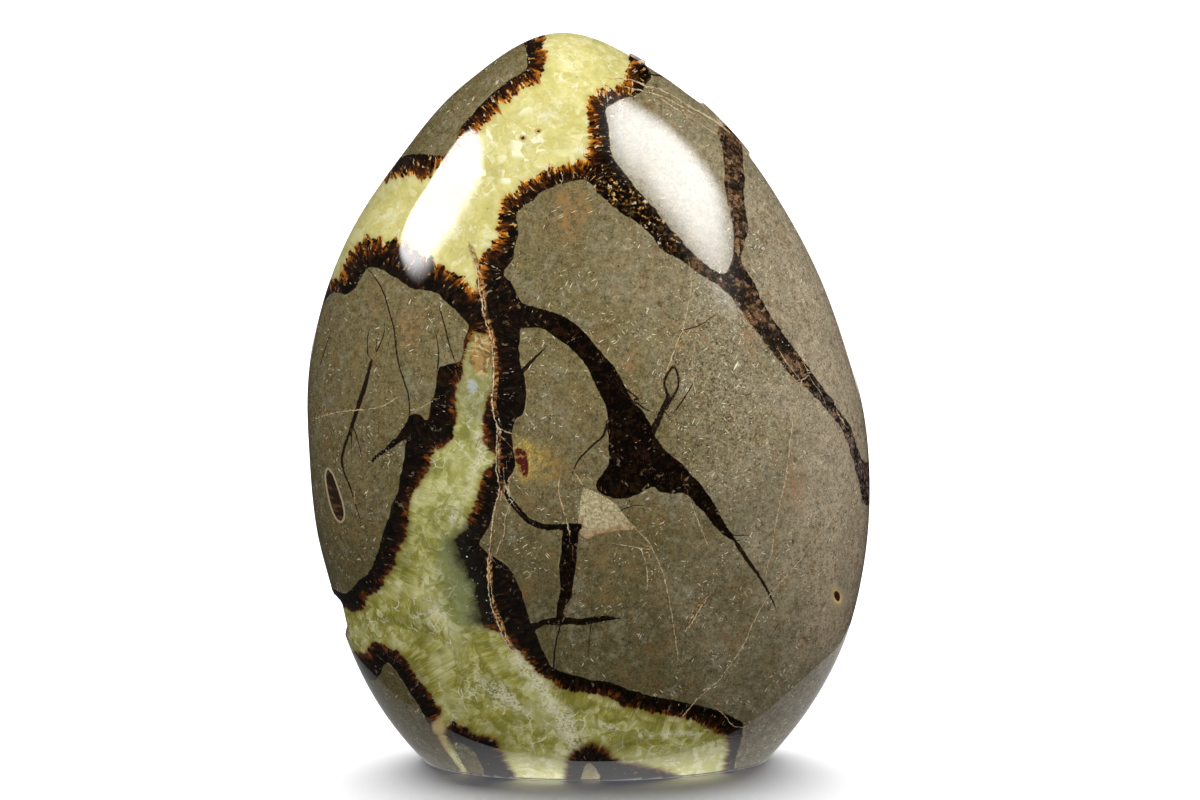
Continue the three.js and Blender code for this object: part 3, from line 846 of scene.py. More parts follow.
# Its waves take 8 to 14 mm for one radian, and the two differ so that it doesn't repeat.
swirl_share = ease((y - SWIRL_START) / SWIRL_RUN)
swirl = SWIRL * swirl_share * (np.sin(y / 9 + z / 14) + 1j * np.sin(y / 8 + x / 13 + 1.7))
outward = (flat - heart) / np.maximum(np.abs(flat - heart), TINY)
base = np.abs(z) < 1e-3
base_rim = BASE_HALF_DEPTH * np.sqrt(np.clip(1 - ((x - BASE_OFFSET) / BASE_HALF_WIDTH) ** 2, 0, 1))
front_chart = flat + outward * np.maximum(y, 0) + swirl
back_chart = flat + outward * np.maximum(-y, 0) + swirl
across_base = y - BASE_SKEW * (x - BASE_OFFSET)
front_chart[base] = (x - 1j * (base_rim + across_base) + swirl)[base]
back_chart[base] = (x - 1j * (base_rim - across_base) + swirl)[base]
front_taper = FRONT_TAPER * np.maximum(y - FRONT_END, 0)
back_taper = BACK_TAPER * np.maximum(-y, 0)
print(f"{np.sum(base)} points lie on the base")

# %% Joining veins
FAR = 1e3
LIMIT = 50.0  # mm; a stored distance is never more than this
FRONT_SEEN, BACK_SEEN = 40.0, 12.0  # a chart is read no further than this past the middle
count = len(points)
wall, calcite, foot = np.full(count, FAR), np.full(count, FAR), np.zeros(count, complex)


def merge_vein(mask, edge, filling, nearest):
    """Joins one more vein into the map: wherever it is closer, its wall and filling count."""
    closer = edge < wall[mask]
    places = np.flatnonzero(mask)
    wall[places[closer]] = edge[closer]
    foot[places[closer]] = nearest[closer]
    calcite[places] = np.minimum(calcite[places], filling)


# %% Veins of the front
front, back = y < FRONT_SEEN, y > -BACK_SEEN
spots = front_chart[front]
body, body_foot = area_distance(spots, FRONT_VEIN)
for island in FRONT_ISLANDS:
    block, block_foot = area_distance(spots, island)
    nearer = -block > body
    body = np.where(nearer, -block, body)
    body_foot = np.where(nearer, block_foot, body_foot)
yellow = np.minimum.reduce([area_distance(spots, shape)[0] for shape in FRONT_CALCITE])
merge_vein(front, body + front_taper[front], yellow + front_taper[front], body_foot)
for vein in FRONT_THIN_VEINS:
    away, _, nearest, widths = measure(spots, vein)
    edge = away - widths[:, 0] + front_taper[front]
    merge_vein(front, edge, np.full(len(spots), FAR), nearest)
print(f"the front's veins cover {np.mean(wall < 0):.0%} of the points")

# %% Veins of the back
spots = back_chart[back]
for vein in BACK_VEINS:
    away, _, nearest, widths = measure(spots, vein)
    edge = away - widths[:, 0] + back_taper[back]
    filling = np.where(widths[:, 1] > 0.5, away - widths[:, 1] + back_taper[back], FAR)
    merge_vein(back, edge, filling, nearest)
print(f"all veins cover {np.mean(wall < 0):.0%} of the points, calcite {np.mean(calcite < 0):.0%}")


# %% Cracks and hairlines
LINE_REACH = 8.0  # mm past a line's own extent in which it is looked for


def map_lines(lines, chart, mask, taper):
    """For each point: side and distance in half widths of the nearest line, and plain distance."""
    across, plain = np.full(count, LIMIT), np.full(count, LIMIT)
    for line in lines:
        drawn = np.array(line)[:, :2] @ [1, 1j]
        near = mask & (np.abs(chart - drawn.mean()) < np.abs(drawn - drawn.mean()).max() + LINE_REACH)
        away, side, _, widths = measure(chart[near], line)
        away = away + taper[near]
        closer = away < plain[near]
        places = np.flatnonzero(near)[closer]
        plain[places] = away[closer]
        across[places] = side[closer] * away[closer] / widths[closer, 0]
    return across, plain


def both_sides(front_lines, back_lines):
    one = map_lines(front_lines, front_chart, front, front_taper)
    two = map_lines(back_lines, back_chart, back, back_taper)
    nearer = one[1] < two[1]
    return [np.where(nearer, a, b) for a, b in zip(one, two)]


dark_lines = both_sides(FRONT_DARK_CRACKS, BACK_CRACKS)
pale_lines = both_sides(FRONT_PALE_LINES, BACK_PALE_LINES)
for title, lines in (("dark cracks", dark_lines), ("pale lines", pale_lines)):
    print(f"{title} run within 1 mm of {np.sum(lines[1] < 1)} points")


# %% [markdown]
# ## Where two walls are equally near
#
# Crystals grow out from both walls of a vein and meet in its middle, where they jam into pale
# blocks. The middle is where the nearest place on the wall jumps from one side to the other
# between two neighbouring points. Those points are marked, and the mark is spread by averaging
# it with the neighbours a number of times.

# %% Middle of the veins
JUMP_PER_STEP, LEAST_JUMP = 4, 1.5  # mm of wall per mm of skin, and mm
KEPT = 0.4  # of a point's own value in each pass
CORE_PASSES, CORE_GAIN = 3, 2.2
WIDE_PASSES, WIDE_GAIN = 40, 7

skin.edges.ensure_lookup_table()
skin.verts.index_update()
pairs = np.array([[v.index for v in e.verts] for e in skin.edges])
step = np.linalg.norm(points[pairs[:, 0]] - points[pairs[:, 1]], axis=1)
jump = np.abs(foot[pairs[:, 0]] - foot[pairs[:, 1]])
jumps = (jump > JUMP_PER_STEP * step + LEAST_JUMP) & (wall[pairs[:, 0]] < 0) & (wall[pairs[:, 1]] < 0)
seam = np.zeros(count)
seam[pairs[jumps].ravel()] = 1.0
neighbours = np.bincount(pairs.ravel(), minlength=count)


def spread(values, times):
    for _ in range(times):
        total = np.bincount(pairs[:, 0], values[pairs[:, 1]], count)
        total += np.bincount(pairs[:, 1], values[pairs[:, 0]], count)
        values = KEPT * values + (1 - KEPT) * total / neighbours
    return values


seam_core = np.clip(spread(seam, CORE_PASSES) * CORE_GAIN, 0, 1)
seam_wide = np.clip(spread(seam, WIDE_PASSES) * WIDE_GAIN, 0, 1)
print(f"{int(seam.sum())} points lie in the middle of a vein")

# %% The finished mesh
nodule_mesh = bpy.data.meshes.new("polished_nodule")
for vert, point in zip(skin.verts, points * MM):
    vert.co = point
for face in skin.faces:
    face.smooth = True
skin.to_mesh(nodule_mesh)
skin.free()
polished_nodule = bpy.data.objects.new("polished_nodule", nodule_mesh)
bpy.context.collection.objects.link(polished_nodule)
lit_by_boxes.objects.link(polished_nodule)
print(f"{len(nodule_mesh.vertices)} vertices, {len(nodule_mesh.polygons)} faces")

# %% [markdown]
# All measures go onto the points of the mesh. A crystal is told apart by the spot on the wall
# that it grew from, moved a little into the vein, so that the crystals fan out round a corner.


# %% Store the measures on the mesh
PATCHES_END = 10.0  # mm behind the middle where the front's patches end


def store(name, values):
    """One number, or three, for each point of the mesh."""
    kind, field = ("FLOAT_VECTOR", "vector") if values.ndim == 2 else ("FLOAT", "value")
    layer = nodule_mesh.attributes.new(name, kind, "POINT")
    layer.data.foreach_set(field, values.astype(np.float32).ravel())


def front_patch(outline):
    """Distance to the edge of a patch, negative inside it."""
    return np.where(y < PATCHES_END, area_distance(front_chart, outline)[0], FAR)


into_vein = (flat + swirl - foot) / np.maximum(np.abs(flat + swirl - foot), TINY)
root = foot + into_vein * FAN
depth_in_vein = np.clip(-wall, -5, LIMIT)
patches = [front_patch(shape) for shape in (FOSSIL, ROUGH_PATCH, OCHRE_PATCH)]
crust = np.full(count, FAR)
for trail in FRONT_CRUST:
    away, _, _, widths = measure(front_chart[front], trail)
    crust[front] = np.minimum(crust[front], away - widths[:, 0] + front_taper[front])
for name, values in {"wall": wall, "calcite": calcite, "crust": crust}.items():
    store(name, np.clip(values, -LIMIT, LIMIT))
store("red_spot", front_patch(RED_SPOT))
store("fibre", np.stack([root.real, root.imag, depth_in_vein], axis=1))
store("seam", np.stack([seam_core, seam_wide, seam_wide], axis=1))
store("dark_line", np.stack([*dark_lines, dark_lines[1]], axis=1))
store("pale_line", np.stack([*pale_lines, pale_lines[1]], axis=1))
store("patches", np.stack(patches, axis=1))
print("stored:", ", ".join(layer.name for layer in nodule_mesh.attributes if layer.name[0] != "."))

# %% [markdown]
# ## Tools for the stone's material
#
# The patterns are read in millimetres on the stone itself, so they stay in place however it is
# turned or looked at. Colours are given as they look on a screen and turned into the linear
# values that a shader takes.

# %% Colours
stone = bpy.data.materials.new("septarian_stone")
empty_tree(stone)


def tone(red, green, blue):
    """A colour given as 0 to 255 on the screen."""
    def linear(v):
        v /= 255
        return v / 12.92 if v <= 0.04045 else ((v + 0.055) / 1.055) ** 2.4
    return (linear(red), linear(green), linear(blue), 1.0)


def mix(share, one, two, blend="MIX"):
    """Colour one where share is 0, colour two where it is 1."""
    settings = {"data_type": "RGBA", "blend_type": blend}
    return Wire.node("Mix", settings, {0: share, 6: one, 7: two}, output=2)


def grey(value):
    return Wire.node("CombineColor", None, {0: value, 1: value, 2: value})


# %% Vectors and stored measures
def vector_math(operation, one, two):
    return Wire.node("VectorMath", {"operation": operation}, {0: one, 1: two})


def stretched(vector, x, y, z):
    return vector_math("MULTIPLY", vector, (x, y, z))


def stored(name, part=None):
    """A measure that was stored on the mesh, or one of its three numbers."""
    if part is None:
        return Wire.node("Attribute", {"attribute_name": name}, output="Fac")
    return parts(Wire.node("Attribute", {"attribute_name": name}, output="Vector"))[part]


# %% [markdown]
# Two textures make all the patterns. Noise gives clouds, and Voronoi gives cells that lie side by
# side. Both are read in the stone's own millimetres, or in the place along a crystal.


# %% Noise, cells and spots
def noise(size, detail=2.0, roughness=0.5, at=None):
    """Cloudy noise with blots of about `size` mm, mostly between 0.3 and 0.7."""
    sockets = {"Vector": at or place, "Scale": 1 / size, "Detail": detail, "Roughness": roughness}
    return Wire.node("TexNoise", None, sockets)


def cells(size, at=None, feature="F1"):
    """Random cells of `size` mm. Gives their distance, and the colour as its other output."""
    sockets = {"Vector": at or place, "Scale": 1 / size}
    return Wire.node("TexVoronoi", {"feature": feature}, sockets)


def near(x, z, wide, high):
    """1 at a spot of the front, fading to 0 at an ellipse round it."""
    across, up = (place_x - x) * (1 / wide), (place_z - z) * (1 / high)
    front_only = place_y.fade(5.0, 0.0)
    return (across * across + up * up).math("SQRT").fade(1.0, 0.0) * front_only


place = stretched(Wire.node("TexCoord", output="Object"), 1 / MM, 1 / MM, 1 / MM)
place_x, place_y, place_z = parts(place)

# %% [markdown]
# The stone is full of grains and chips. They could be noise too, but then they run together like
# worms. Voronoi cells keep them apart: each cell has one middle, and what lies close to it is a
# grain, or a chip where the cells are stretched.


# %% Grains and chips
def dots(size, radius, share, at=None):
    """Grains of up to `radius` mm. A `share` of the cells of `size` mm holds one each."""
    cell = cells(size, at)
    pick, small, _ = parts(cell.other("Color"))
    edge = radius / size
    return (cell + small * (edge * 0.6)).fade(edge, edge * 0.5) * pick.fade(1 - share, 1.02 - share)


def dashes(turn, long, wide, share):
    """Chips of `long` by `wide` mm that lean `turn` degrees, in a `share` of their cells."""
    lean = {0: place, "Angle": math.radians(turn)}
    turned = Wire.node("VectorRotate", {"rotation_type": "Y_AXIS"}, lean)
    return dots(3, 1, share, at=stretched(turned, 2 / long, 2 / long, 2 / wide))


# %% [markdown]
# A crystal face is flat, so the light on it changes evenly from one side to the other. The
# helper below paints that light and shade into the colour: each Voronoi cell gets such a slope,
# in a random direction of its own.


# %% Crystal faces with painted light and shade
def painted_facets(size, at):
    """A painted shade of light round 0.5 that slopes evenly across each cell of `size` mm, and the cell's
    number.
    """
    cell = cells(size, at)
    tint = cell.other("Color")
    from_middle = vector_math("SUBTRACT", at, cell.other("Position"))
    slope = vector_math("DOT_PRODUCT", from_middle, vector_math("SUBTRACT", tint, (0.5, 0.5, 0.5)))
    first, second, _ = parts(tint)
    return slope.other("Value") * (2.2 / size) + (first - 0.5) * 0.6 + 0.5, second


# %% [markdown]
# Colour is laid on in coats, as a painter glazes. Each coat has a share that says where it
# covers: 0 leaves what lies below it, and 1 hides it. Most shares are noise that is cut off
# softly, and a waver of noise keeps an edge from running straight.


# %% Coats of colour
def painted(ground, *coats):
    """The ground with coats laid over it, one after the other. A coat is its share and its colour."""
    for share, colour in coats:
        ground = mix(share, ground, colour)
    return ground


def waver(amount, size, detail=2.0, roughness=0.5):
    """Noise that swings round zero, mostly less than a fifth of `amount` to either side."""
    return (noise(size, detail, roughness) - 0.5) * amount


def shaking(scale):
    """Noise with a direction, that places can be pushed about with."""
    return Wire.node("TexNoise", None, {"Vector": place, "Scale": scale, "Detail": 1.0}, "Color")


def pushed(vector, push, far):
    return vector_math("ADD", vector, stretched(push, far, far, far))


# %% [markdown]
# ## Limestone
#
# The grey stone between the veins is old lime mud, olive where it is fresh and greyer or browner
# where it has weathered. Noise of several sizes gives the clouds, and `slow` and `slower` are two
# that many patterns further down share. The stone gets darker towards the foot, and paler and a
# little pink towards the right, partly its own colour and partly painted shade and painted light.

# %% Limestone: clouds
OLIVE = tone(112, 101, 68)
DARK_OLIVE = tone(84, 77, 50)
WARM_GREY = tone(144, 133, 108)
PINKISH_GREY = tone(170, 154, 130)
COOL_GREY = tone(118, 116, 96)
BROWNISH = tone(122, 99, 60)
RUST = tone(118, 72, 32)

clouds = noise(17, detail=4, roughness=0.55)
mottles = noise(6, detail=5, roughness=0.65)
slow, slower = noise(4, detail=2), noise(6, detail=2)
# darker towards the foot: partly painted shade
low = (place_z + (clouds - 0.5) * 60).fade(95, 25)
# paler and pinker towards the right: partly painted light
to_the_right = (place_x + (clouds - 0.5) * 70 + (place_z - 70) * 0.15).fade(5, 55) * (1 - low * 0.3)
far_right = (place_x + (clouds - 0.5) * 40 + place_z * 0.12).fade(44, 66)
smudges = noise(2.6, detail=4, roughness=0.75, at=stretched(place, 1, 1, 0.5)).fade(0.54, 0.74)
limestone = painted(
    OLIVE,
    (low * 0.9, DARK_OLIVE),
    (to_the_right * 0.9, WARM_GREY),
    (far_right * 0.6, PINKISH_GREY),
    (mottles.fade(0.5, 0.66) * 0.5, COOL_GREY),
    (mottles.fade(0.46, 0.3) * 0.45, BROWNISH),
    (smudges * 0.5, RUST),
)

# %% [markdown]
# The mud is full of specks. Fine noise, multiplied in, makes it gritty, most of all in a belt on
# the right, and dark grains, rusty dots and a few rusty hairs lie in it.

# %% Limestone: grain and dark specks
SPECK = tone(48, 37, 22)
PALE_RUST = tone(140, 100, 50)

gather = noise(6.5, detail=3, roughness=0.6)
belt = near(29, 90, 19, 36)
grain = noise(0.5, detail=4, roughness=0.85)
soft_grain = noise(1.5, detail=4, roughness=0.7)
grain_shade = (grain - 0.5) * (3.1 + belt * 3.0) + (soft_grain - 0.5) * 2.0 + 1.0
limestone = mix(1.0, limestone, grey(grain_shade), "MULTIPLY")
pepper = dots(0.75, 0.24, 0.6) * (gather + belt * 0.3).fade(0.34, 0.52)
rust_dots = dots(1.2, 0.32, 0.6) * clouds.fade(0.4, 0.54)
rust_hairs = abs(noise(2.4, detail=2) - 0.5).fade(0.016, 0.004) * slower.fade(0.54, 0.64)
limestone = painted(
    limestone,
    (pepper * 0.9, SPECK),
    (rust_dots * 0.8, mix(soft_grain.fade(0.45, 0.55), RUST, SPECK)),
    (rust_hairs * 0.6, PALE_RUST),
)

# %% [markdown]
# The saw has cut across shells, which show as cream chips. They lean in four directions, and the
# largest lie together on the right. High up in the middle, thin ones stand in a rusty fan.

# %% Limestone: shell
SHELL = tone(240, 230, 202)
CHIPS = [  # lean in degrees, length and width in mm, share of the cells
    (63, 1.9, 0.25, 0.14),
    (28, 1.6, 0.22, 0.12),
    (-50, 1.5, 0.22, 0.12),
    (-8, 1.3, 0.22, 0.1),
]

shell, *more_shell = [dashes(*chip) for chip in CHIPS]
for chip in more_shell:
    shell = shell.at_least(chip)
shell = shell * (gather + belt * 0.25).fade(0.42, 0.56)
salt = dots(0.65, 0.18, 0.5) * (gather + belt * 0.34).fade(0.43, 0.6)
shell_bank = near(34, 98, 8, 8).at_least(near(32, 84, 7, 8)).fade(0.2, 0.6)
fan = near(-4, 131, 9, 7).fade(0.1, 0.5)
limestone = painted(
    limestone,
    (shell.at_least(salt) * 0.88, SHELL),
    (dashes(60, 3.2, 0.55, 0.5) * shell_bank, SHELL),
    (fan * soft_grain.fade(0.48, 0.6) * 0.6, tone(146, 106, 52)),
    (fan * dashes(22, 2.6, 0.24, 0.45), tone(224, 204, 160)),
)

# %% [markdown]
# Last come stains: pinkish blushes and parts of thin pale rings that water has left. A ring is
# where the distance to the middle of a cell has one certain value. After them the limestone is
# made paler in a spot at the foot.

# %% Limestone: stains
BLUSH = tone(156, 104, 66)
RING_RADIUS = 0.27  # as a share of its cell

blotched = soft_grain.fade(0.42, 0.6)
for blush_x, blush_z, blush_size in BLUSHES:
    blush = near(blush_x, blush_z, blush_size, blush_size * 1.8) * blotched
    limestone = mix(blush * 0.4, limestone, BLUSH)
ring = cells(4.5)
ring_pick, _, _ = parts(ring.other("Color"))
arcs = abs(ring - RING_RADIUS).fade(0.03, 0.012) * ring_pick.fade(0.9, 0.92) * noise(1.5).fade(0.5, 0.56)
limestone = painted(
    limestone,
    (arcs * 0.45, tone(184, 174, 140)),
    (near(1, 3, 5, 6).fade(0.0, 0.5) * 0.5, tone(160, 146, 112)),
)
print(f"limestone: {len(Wire.tree.nodes)} nodes")

# %% [markdown]
# ## Aragonite
#
# The brown mineral grew first, as crystals that stand straight out of the limestone wall. A place
# in the vein is told by the spot on the wall that it grew from and by its depth. Voronoi cells
# that are read there are the crystals. Each has its own random shade, and where cells hardly
# change with depth they are whole columns, which end in a tip that is a cone, because a cell knows
# the distance to its middle. The tips make the ragged edge between the brown and the yellow, which
# is sharp high up and foggy at the foot.

# %% Where the minerals lie
wall_now = stored("wall") + waver(1.2, 2.6, detail=4, roughness=0.6)
fibre = Wire.node("Attribute", {"attribute_name": "fibre"}, output="Vector")
_, _, depth = parts(fibre)
high_up = place_z.fade(90, 120)
column = cells(1.1, at=stretched(fibre, 1, 1, 0.07))
column_tone, column_tall, _ = parts(column.other("Color"))
hair = noise(0.4, detail=3, roughness=0.65, at=stretched(fibre, 1, 1, 0.12))
broad_streak = noise(2.6, detail=2, at=stretched(fibre, 1, 1, 0.2))
tip = (0.6 - column * 1.4) * (0.35 + column_tall * 1.2) * (0.6 + high_up * 0.7)
ragged = (hair - 0.5) * (1.2 - high_up * 0.6)
calcite_now = stored("calcite") + tip + ragged + (broad_streak - 0.5) * 1.8
in_vein = wall_now.fade(0.1, -0.1)
foggy = place_z.fade(16, 6)
in_calcite = calcite_now.fade(0.2 + foggy * 0.7, -0.35 + high_up * 0.2 - foggy * 0.4) * in_vein

# %% [markdown]
# The crystals are cut across by the polish and show small flat faces, each with painted light and
# shade. In the fringe beside the calcite these stand in rows along the crystals. Everywhere else
# they are a loose jumble.

# %% Aragonite: crystal faces
crystal = cells(0.85, at=stretched(fibre, 1, 1, 0.36))
crystal_tone, crystal_glow, _ = parts(crystal.other("Color"))
lumps = noise(1.0, detail=4, roughness=0.75)
shake = shaking(1.1)
in_fringe = (calcite_now + (lumps - 0.5) * 3).fade(6.5, 5.5)
row_grit, row_pick = painted_facets(0.7, pushed(stretched(fibre, 1, 1, 0.4), shake, 0.7))
loose_grit, loose_pick = painted_facets(1.0, pushed(place, shake, 1.2))
grit = row_grit * in_fringe + loose_grit * (1 - in_fringe)
grit_pick = row_pick * in_fringe + loose_pick * (1 - in_fringe)

# %% [markdown]
# Near the wall the mineral is almost black. Light comes through the pointed tips, so they glow
# red-brown, and amber at the very end. High up on the stone the crystals are coarser and more
# golden. Painted glints stand for the light that some faces there catch, and small painted glints
# lie all over.

# %% Aragonite: colours
BLACK_BROWN = tone(9, 6, 4)
DARK_BROWN = tone(32, 21, 12)
RED_BROWN = tone(96, 46, 16)
AMBER = tone(190, 112, 30)
BRIGHT_AMBER = tone(208, 134, 38)
PALE_GLINT = tone(222, 204, 172)
GOLD_GLINT = tone(218, 172, 92)
HONEY_GLINT = tone(236, 206, 130)

# %% Aragonite: faces, tips and painted glints
crusty = place_z.fade(104, 130)
one_or_other = grit_pick.fade(0.3, 0.7)
grit_brown = mix(one_or_other, tone(62, 46, 22), tone(96, 50, 20))
grit_gold = mix(one_or_other, tone(100, 78, 42), tone(132, 86, 40))
grit_tone = mix(crusty * (1 - in_fringe), grit_brown, grit_gold)
off_wall = depth.fade(0.6, 2.6) * 0.6 + 0.4
to_tip = calcite_now + (hair - 0.5) * 1.4 + (crystal_tone - 0.5) * 1.6
lit_through = to_tip.fade(1.6 + high_up * 2.2, 0.4) * (crystal_glow * 0.5 + broad_streak).fade(0.5, 0.95)
sunny = slow + high_up * 0.1
bright_tips = to_tip.fade(1.4 + high_up * 1.2, 0.2) * (sunny + column_tone * 0.2).fade(0.54, 0.74)
bright_tips = bright_tips * (crystal_glow * 0.6 + grit * 0.6).fade(0.4, 0.8)
shine_here = noise(2.2, detail=3, roughness=0.6) + crusty * 0.08
glint_tone = mix(high_up * grit_pick.fade(0.2, 0.6), PALE_GLINT, GOLD_GLINT)
painted_glint_faces = grit.fade(0.94, 1.06) * shine_here.fade(0.5, 0.6)
glint = dots(0.8, 0.17, 0.4, at=stretched(fibre, 1.2, 1.2, 0.4)) * sunny.fade(0.46, 0.62)
glow_edge = calcite_now.fade(1.3, 0.2) * row_grit.fade(0.3, 0.75) * high_up
edge_glint = abs(calcite_now - 0.25).fade(0.3, 0.1) * grit.fade(0.7, 0.9) * high_up

# %% Aragonite: from black to gold
aragonite = painted(
    BLACK_BROWN,
    (crystal_tone.fade(0.4, 1.0) * lumps.fade(0.38, 0.58), DARK_BROWN),
    # the lit side of each face, as painted light in brown and gold
    (grit.fade(0.48, 0.9) * (0.1 + crusty * off_wall * 0.7), grit_tone),
    (lit_through * (0.36 + grit_pick * 0.4), RED_BROWN),
    (bright_tips * (0.3 + high_up * 0.6), AMBER),
    # painted glints: light caught by faces, grains and the edge of the tips
    (painted_glint_faces * (0.14 + crusty * 0.56), glint_tone),
    (glint * 0.7, glint_tone),
    (glow_edge * 0.7, BRIGHT_AMBER),
    (edge_glint * 0.8, HONEY_GLINT),
)

# %% [markdown]
# The veins on the upper right never filled up with calcite. Their crystals are open and coarse,
# black and brown in turn by painted shade and light on their faces, with dark gaps between them,
# and golden and white grains lie on a ground that is almost purple.

# %% Open-grown veins
GAP_BLACK = tone(22, 17, 15)
OPEN_BLACK = tone(24, 18, 15)
OPEN_DARK = tone(30, 25, 21)
COARSE_SIZE = 1.9

open_grown = (place_x + place_z * 0.7).fade(90, 102) * place_x.fade(14, 32)
open_grown = open_grown.at_least(near(-52, 133, 12, 10))
patch = noise(4.5, detail=4, roughness=0.65)
grime = noise(0.7, detail=4, roughness=0.8)
coarse_place = pushed(place, shake, 1.6)
coarse, coarse_pick = painted_facets(COARSE_SIZE, coarse_place)
gaps = cells(COARSE_SIZE, at=coarse_place, feature="DISTANCE_TO_EDGE") + (lumps - 0.5) * 0.16
open_light = mix(place_z.fade(98, 88), tone(124, 92, 62), tone(104, 90, 86))
coarse_tone = mix(coarse_pick, tone(150, 112, 74), tone(156, 140, 124))
dark_knot = near(43, 101, 4, 5).fade(0, 0.5)
open_ground = painted(
    OPEN_DARK,
    (patch.fade(0.42, 0.56), open_light),
    # the dark and lit sides of the coarse faces, and of the grit, are painted shade and light
    (coarse.fade(0.5, 0.15) * 0.85, OPEN_BLACK),
    (coarse.fade(0.6, 0.95) * 0.6, coarse_tone),
    (grit.fade(0.45, 0.1) * 0.7, GAP_BLACK),
    (grime.fade(0.54, 0.68) * 0.4, tone(150, 128, 104)),
    (gaps.fade(0.09, 0.03) * 0.7, GAP_BLACK),
    (dark_knot * 0.8, tone(24, 22, 18)),
)

# %% Grains in the open-grown veins, and pale limestone beside a wall
gold_rush = (near(46, 95.5, 4, 5) + patch - 0.5).fade(0.2, 0.5)
gold = dots(0.8, 0.36, 0.55) * gold_rush.at_least(patch.fade(0.54, 0.66) * 0.6) * open_grown
white_grains = dots(0.7, 0.19, 0.35) * slow.fade(0.44, 0.58) * open_grown
aragonite = painted(
    aragonite,
    (open_grown * 0.9, open_ground),
    (gold * 0.9, tone(214, 160, 78)),
    (white_grains * 0.85, tone(220, 208, 190)),
)
skirt = abs(wall_now - 0.2).fade(0.2, 0.05) * noise(5, detail=3).fade(0.56, 0.68)
limestone = mix(skirt * 0.3, limestone, tone(186, 168, 124))
print(f"with the aragonite: {len(Wire.tree.nodes)} nodes")

# %% [markdown]
# ## Calcite
#
# The yellow mineral filled the rest. Its colour runs from lemon at the tip of the stone to olive
# at its foot, and `height` is wavered, so that the change isn't level.

# %% Calcite: colours from foot to tip
LEMON = tone(206, 196, 122)
PALE_GREEN = tone(172, 169, 94)
OLIVE_YELLOW = tone(158, 152, 68)
DEEP_OLIVE = tone(98, 96, 34)
MILK = tone(224, 220, 172)

height = place_z + waver(40, 20, detail=3)
calcite_colour = mix(height.fade(92, 122), mix(height.fade(35, 70), OLIVE_YELLOW, PALE_GREEN), LEMON)

# %% [markdown]
# The crystals stand out from the brown rim like feathers, row over row: along the depth the shade
# of each feather climbs from dark to light, then drops at its tip, which is what the fraction of
# a number does. Where the rows meet in the middle of the vein they jam into paler blocks, with
# lines that run another way in each block. Blades, blocks, chips and shards also carry painted
# light and shade on their flat faces.

# %% Calcite: feathers and blocks
FEATHER_LENGTH = 4.6

seam_core, seam_wide, _ = parts(Wire.node("Attribute", {"attribute_name": "seam"}, output="Vector"))
toward_middle = (seam_wide + waver(0.9, 3, detail=2)).fade(0.28, 0.62)
in_rows = 1 - toward_middle
blades, _ = painted_facets(2.3, stretched(fibre, 1, 1, 0.2))
_, sheaf_start, _ = parts(cells(2.2, at=stretched(fibre, 1, 1, 0.1)).other("Color"))
feather = ((depth + sheaf_start * 7 + (hair - 0.5) * 3.2) * (1 / FEATHER_LENGTH)).math("FRACT")
bent = pushed(place, shaking(0.2), 5)
blocks, _ = painted_facets(3.4, bent)
chips, _ = painted_facets(1.4, bent)
_, block_turn, _ = parts(cells(3.2, at=bent).other("Color"))
spun = Wire.node("VectorRotate", {"rotation_type": "Y_AXIS"}, {0: place, "Angle": block_turn * 3.1})
lines = noise(0.45, detail=3, roughness=0.65, at=stretched(spun, 1, 1, 0.14))
shards, _ = painted_facets(2.6, stretched(spun, 1, 1, 0.4))
shade = (feather * 0.6 + blades * 0.4) * in_rows + (blocks * 0.5 + chips * 0.2 + shards * 0.3) * toward_middle
fine = hair * in_rows + lines * toward_middle

# %% Calcite: light and dark crystals, partly painted light and shade
wash = noise(7, detail=3, roughness=0.5)
murk = height.fade(120, 55) * 0.36 + 0.14
shard_zone = near(-20, 144, 15, 14).fade(0, 0.4) * 0.55 + 0.12
calcite_colour = painted(
    calcite_colour,
    (shade.fade(0.42, 1.0) * 0.55, MILK),
    (shade.fade(0.55, 0.1) * murk, DEEP_OLIVE),
    (fine.fade(0.52, 0.7) * 0.36, MILK),
    (fine.fade(0.48, 0.3) * murk * 0.8, DEEP_OLIVE),
    (wash.fade(0.5, 0.7) * 0.3, MILK),
    (wash.fade(0.5, 0.32) * murk, DEEP_OLIVE),
    # painted light on the lit faces of the shards
    (shards.fade(0.58, 1.05) * toward_middle * shard_zone, tone(240, 240, 212)),
)

# %% [markdown]
# White, crumbly crystals edge some of the blocks, run along the middle of the vein and follow
# the trails that were drawn. At the foot the calcite is painted paler, as painted light for the
# light that the downward-facing flank gets from the paper, and one sliver on the left is stained
# brown.

# %% Calcite: white edges and painted light at the foot
CRYSTAL_WHITE = tone(228, 224, 196)

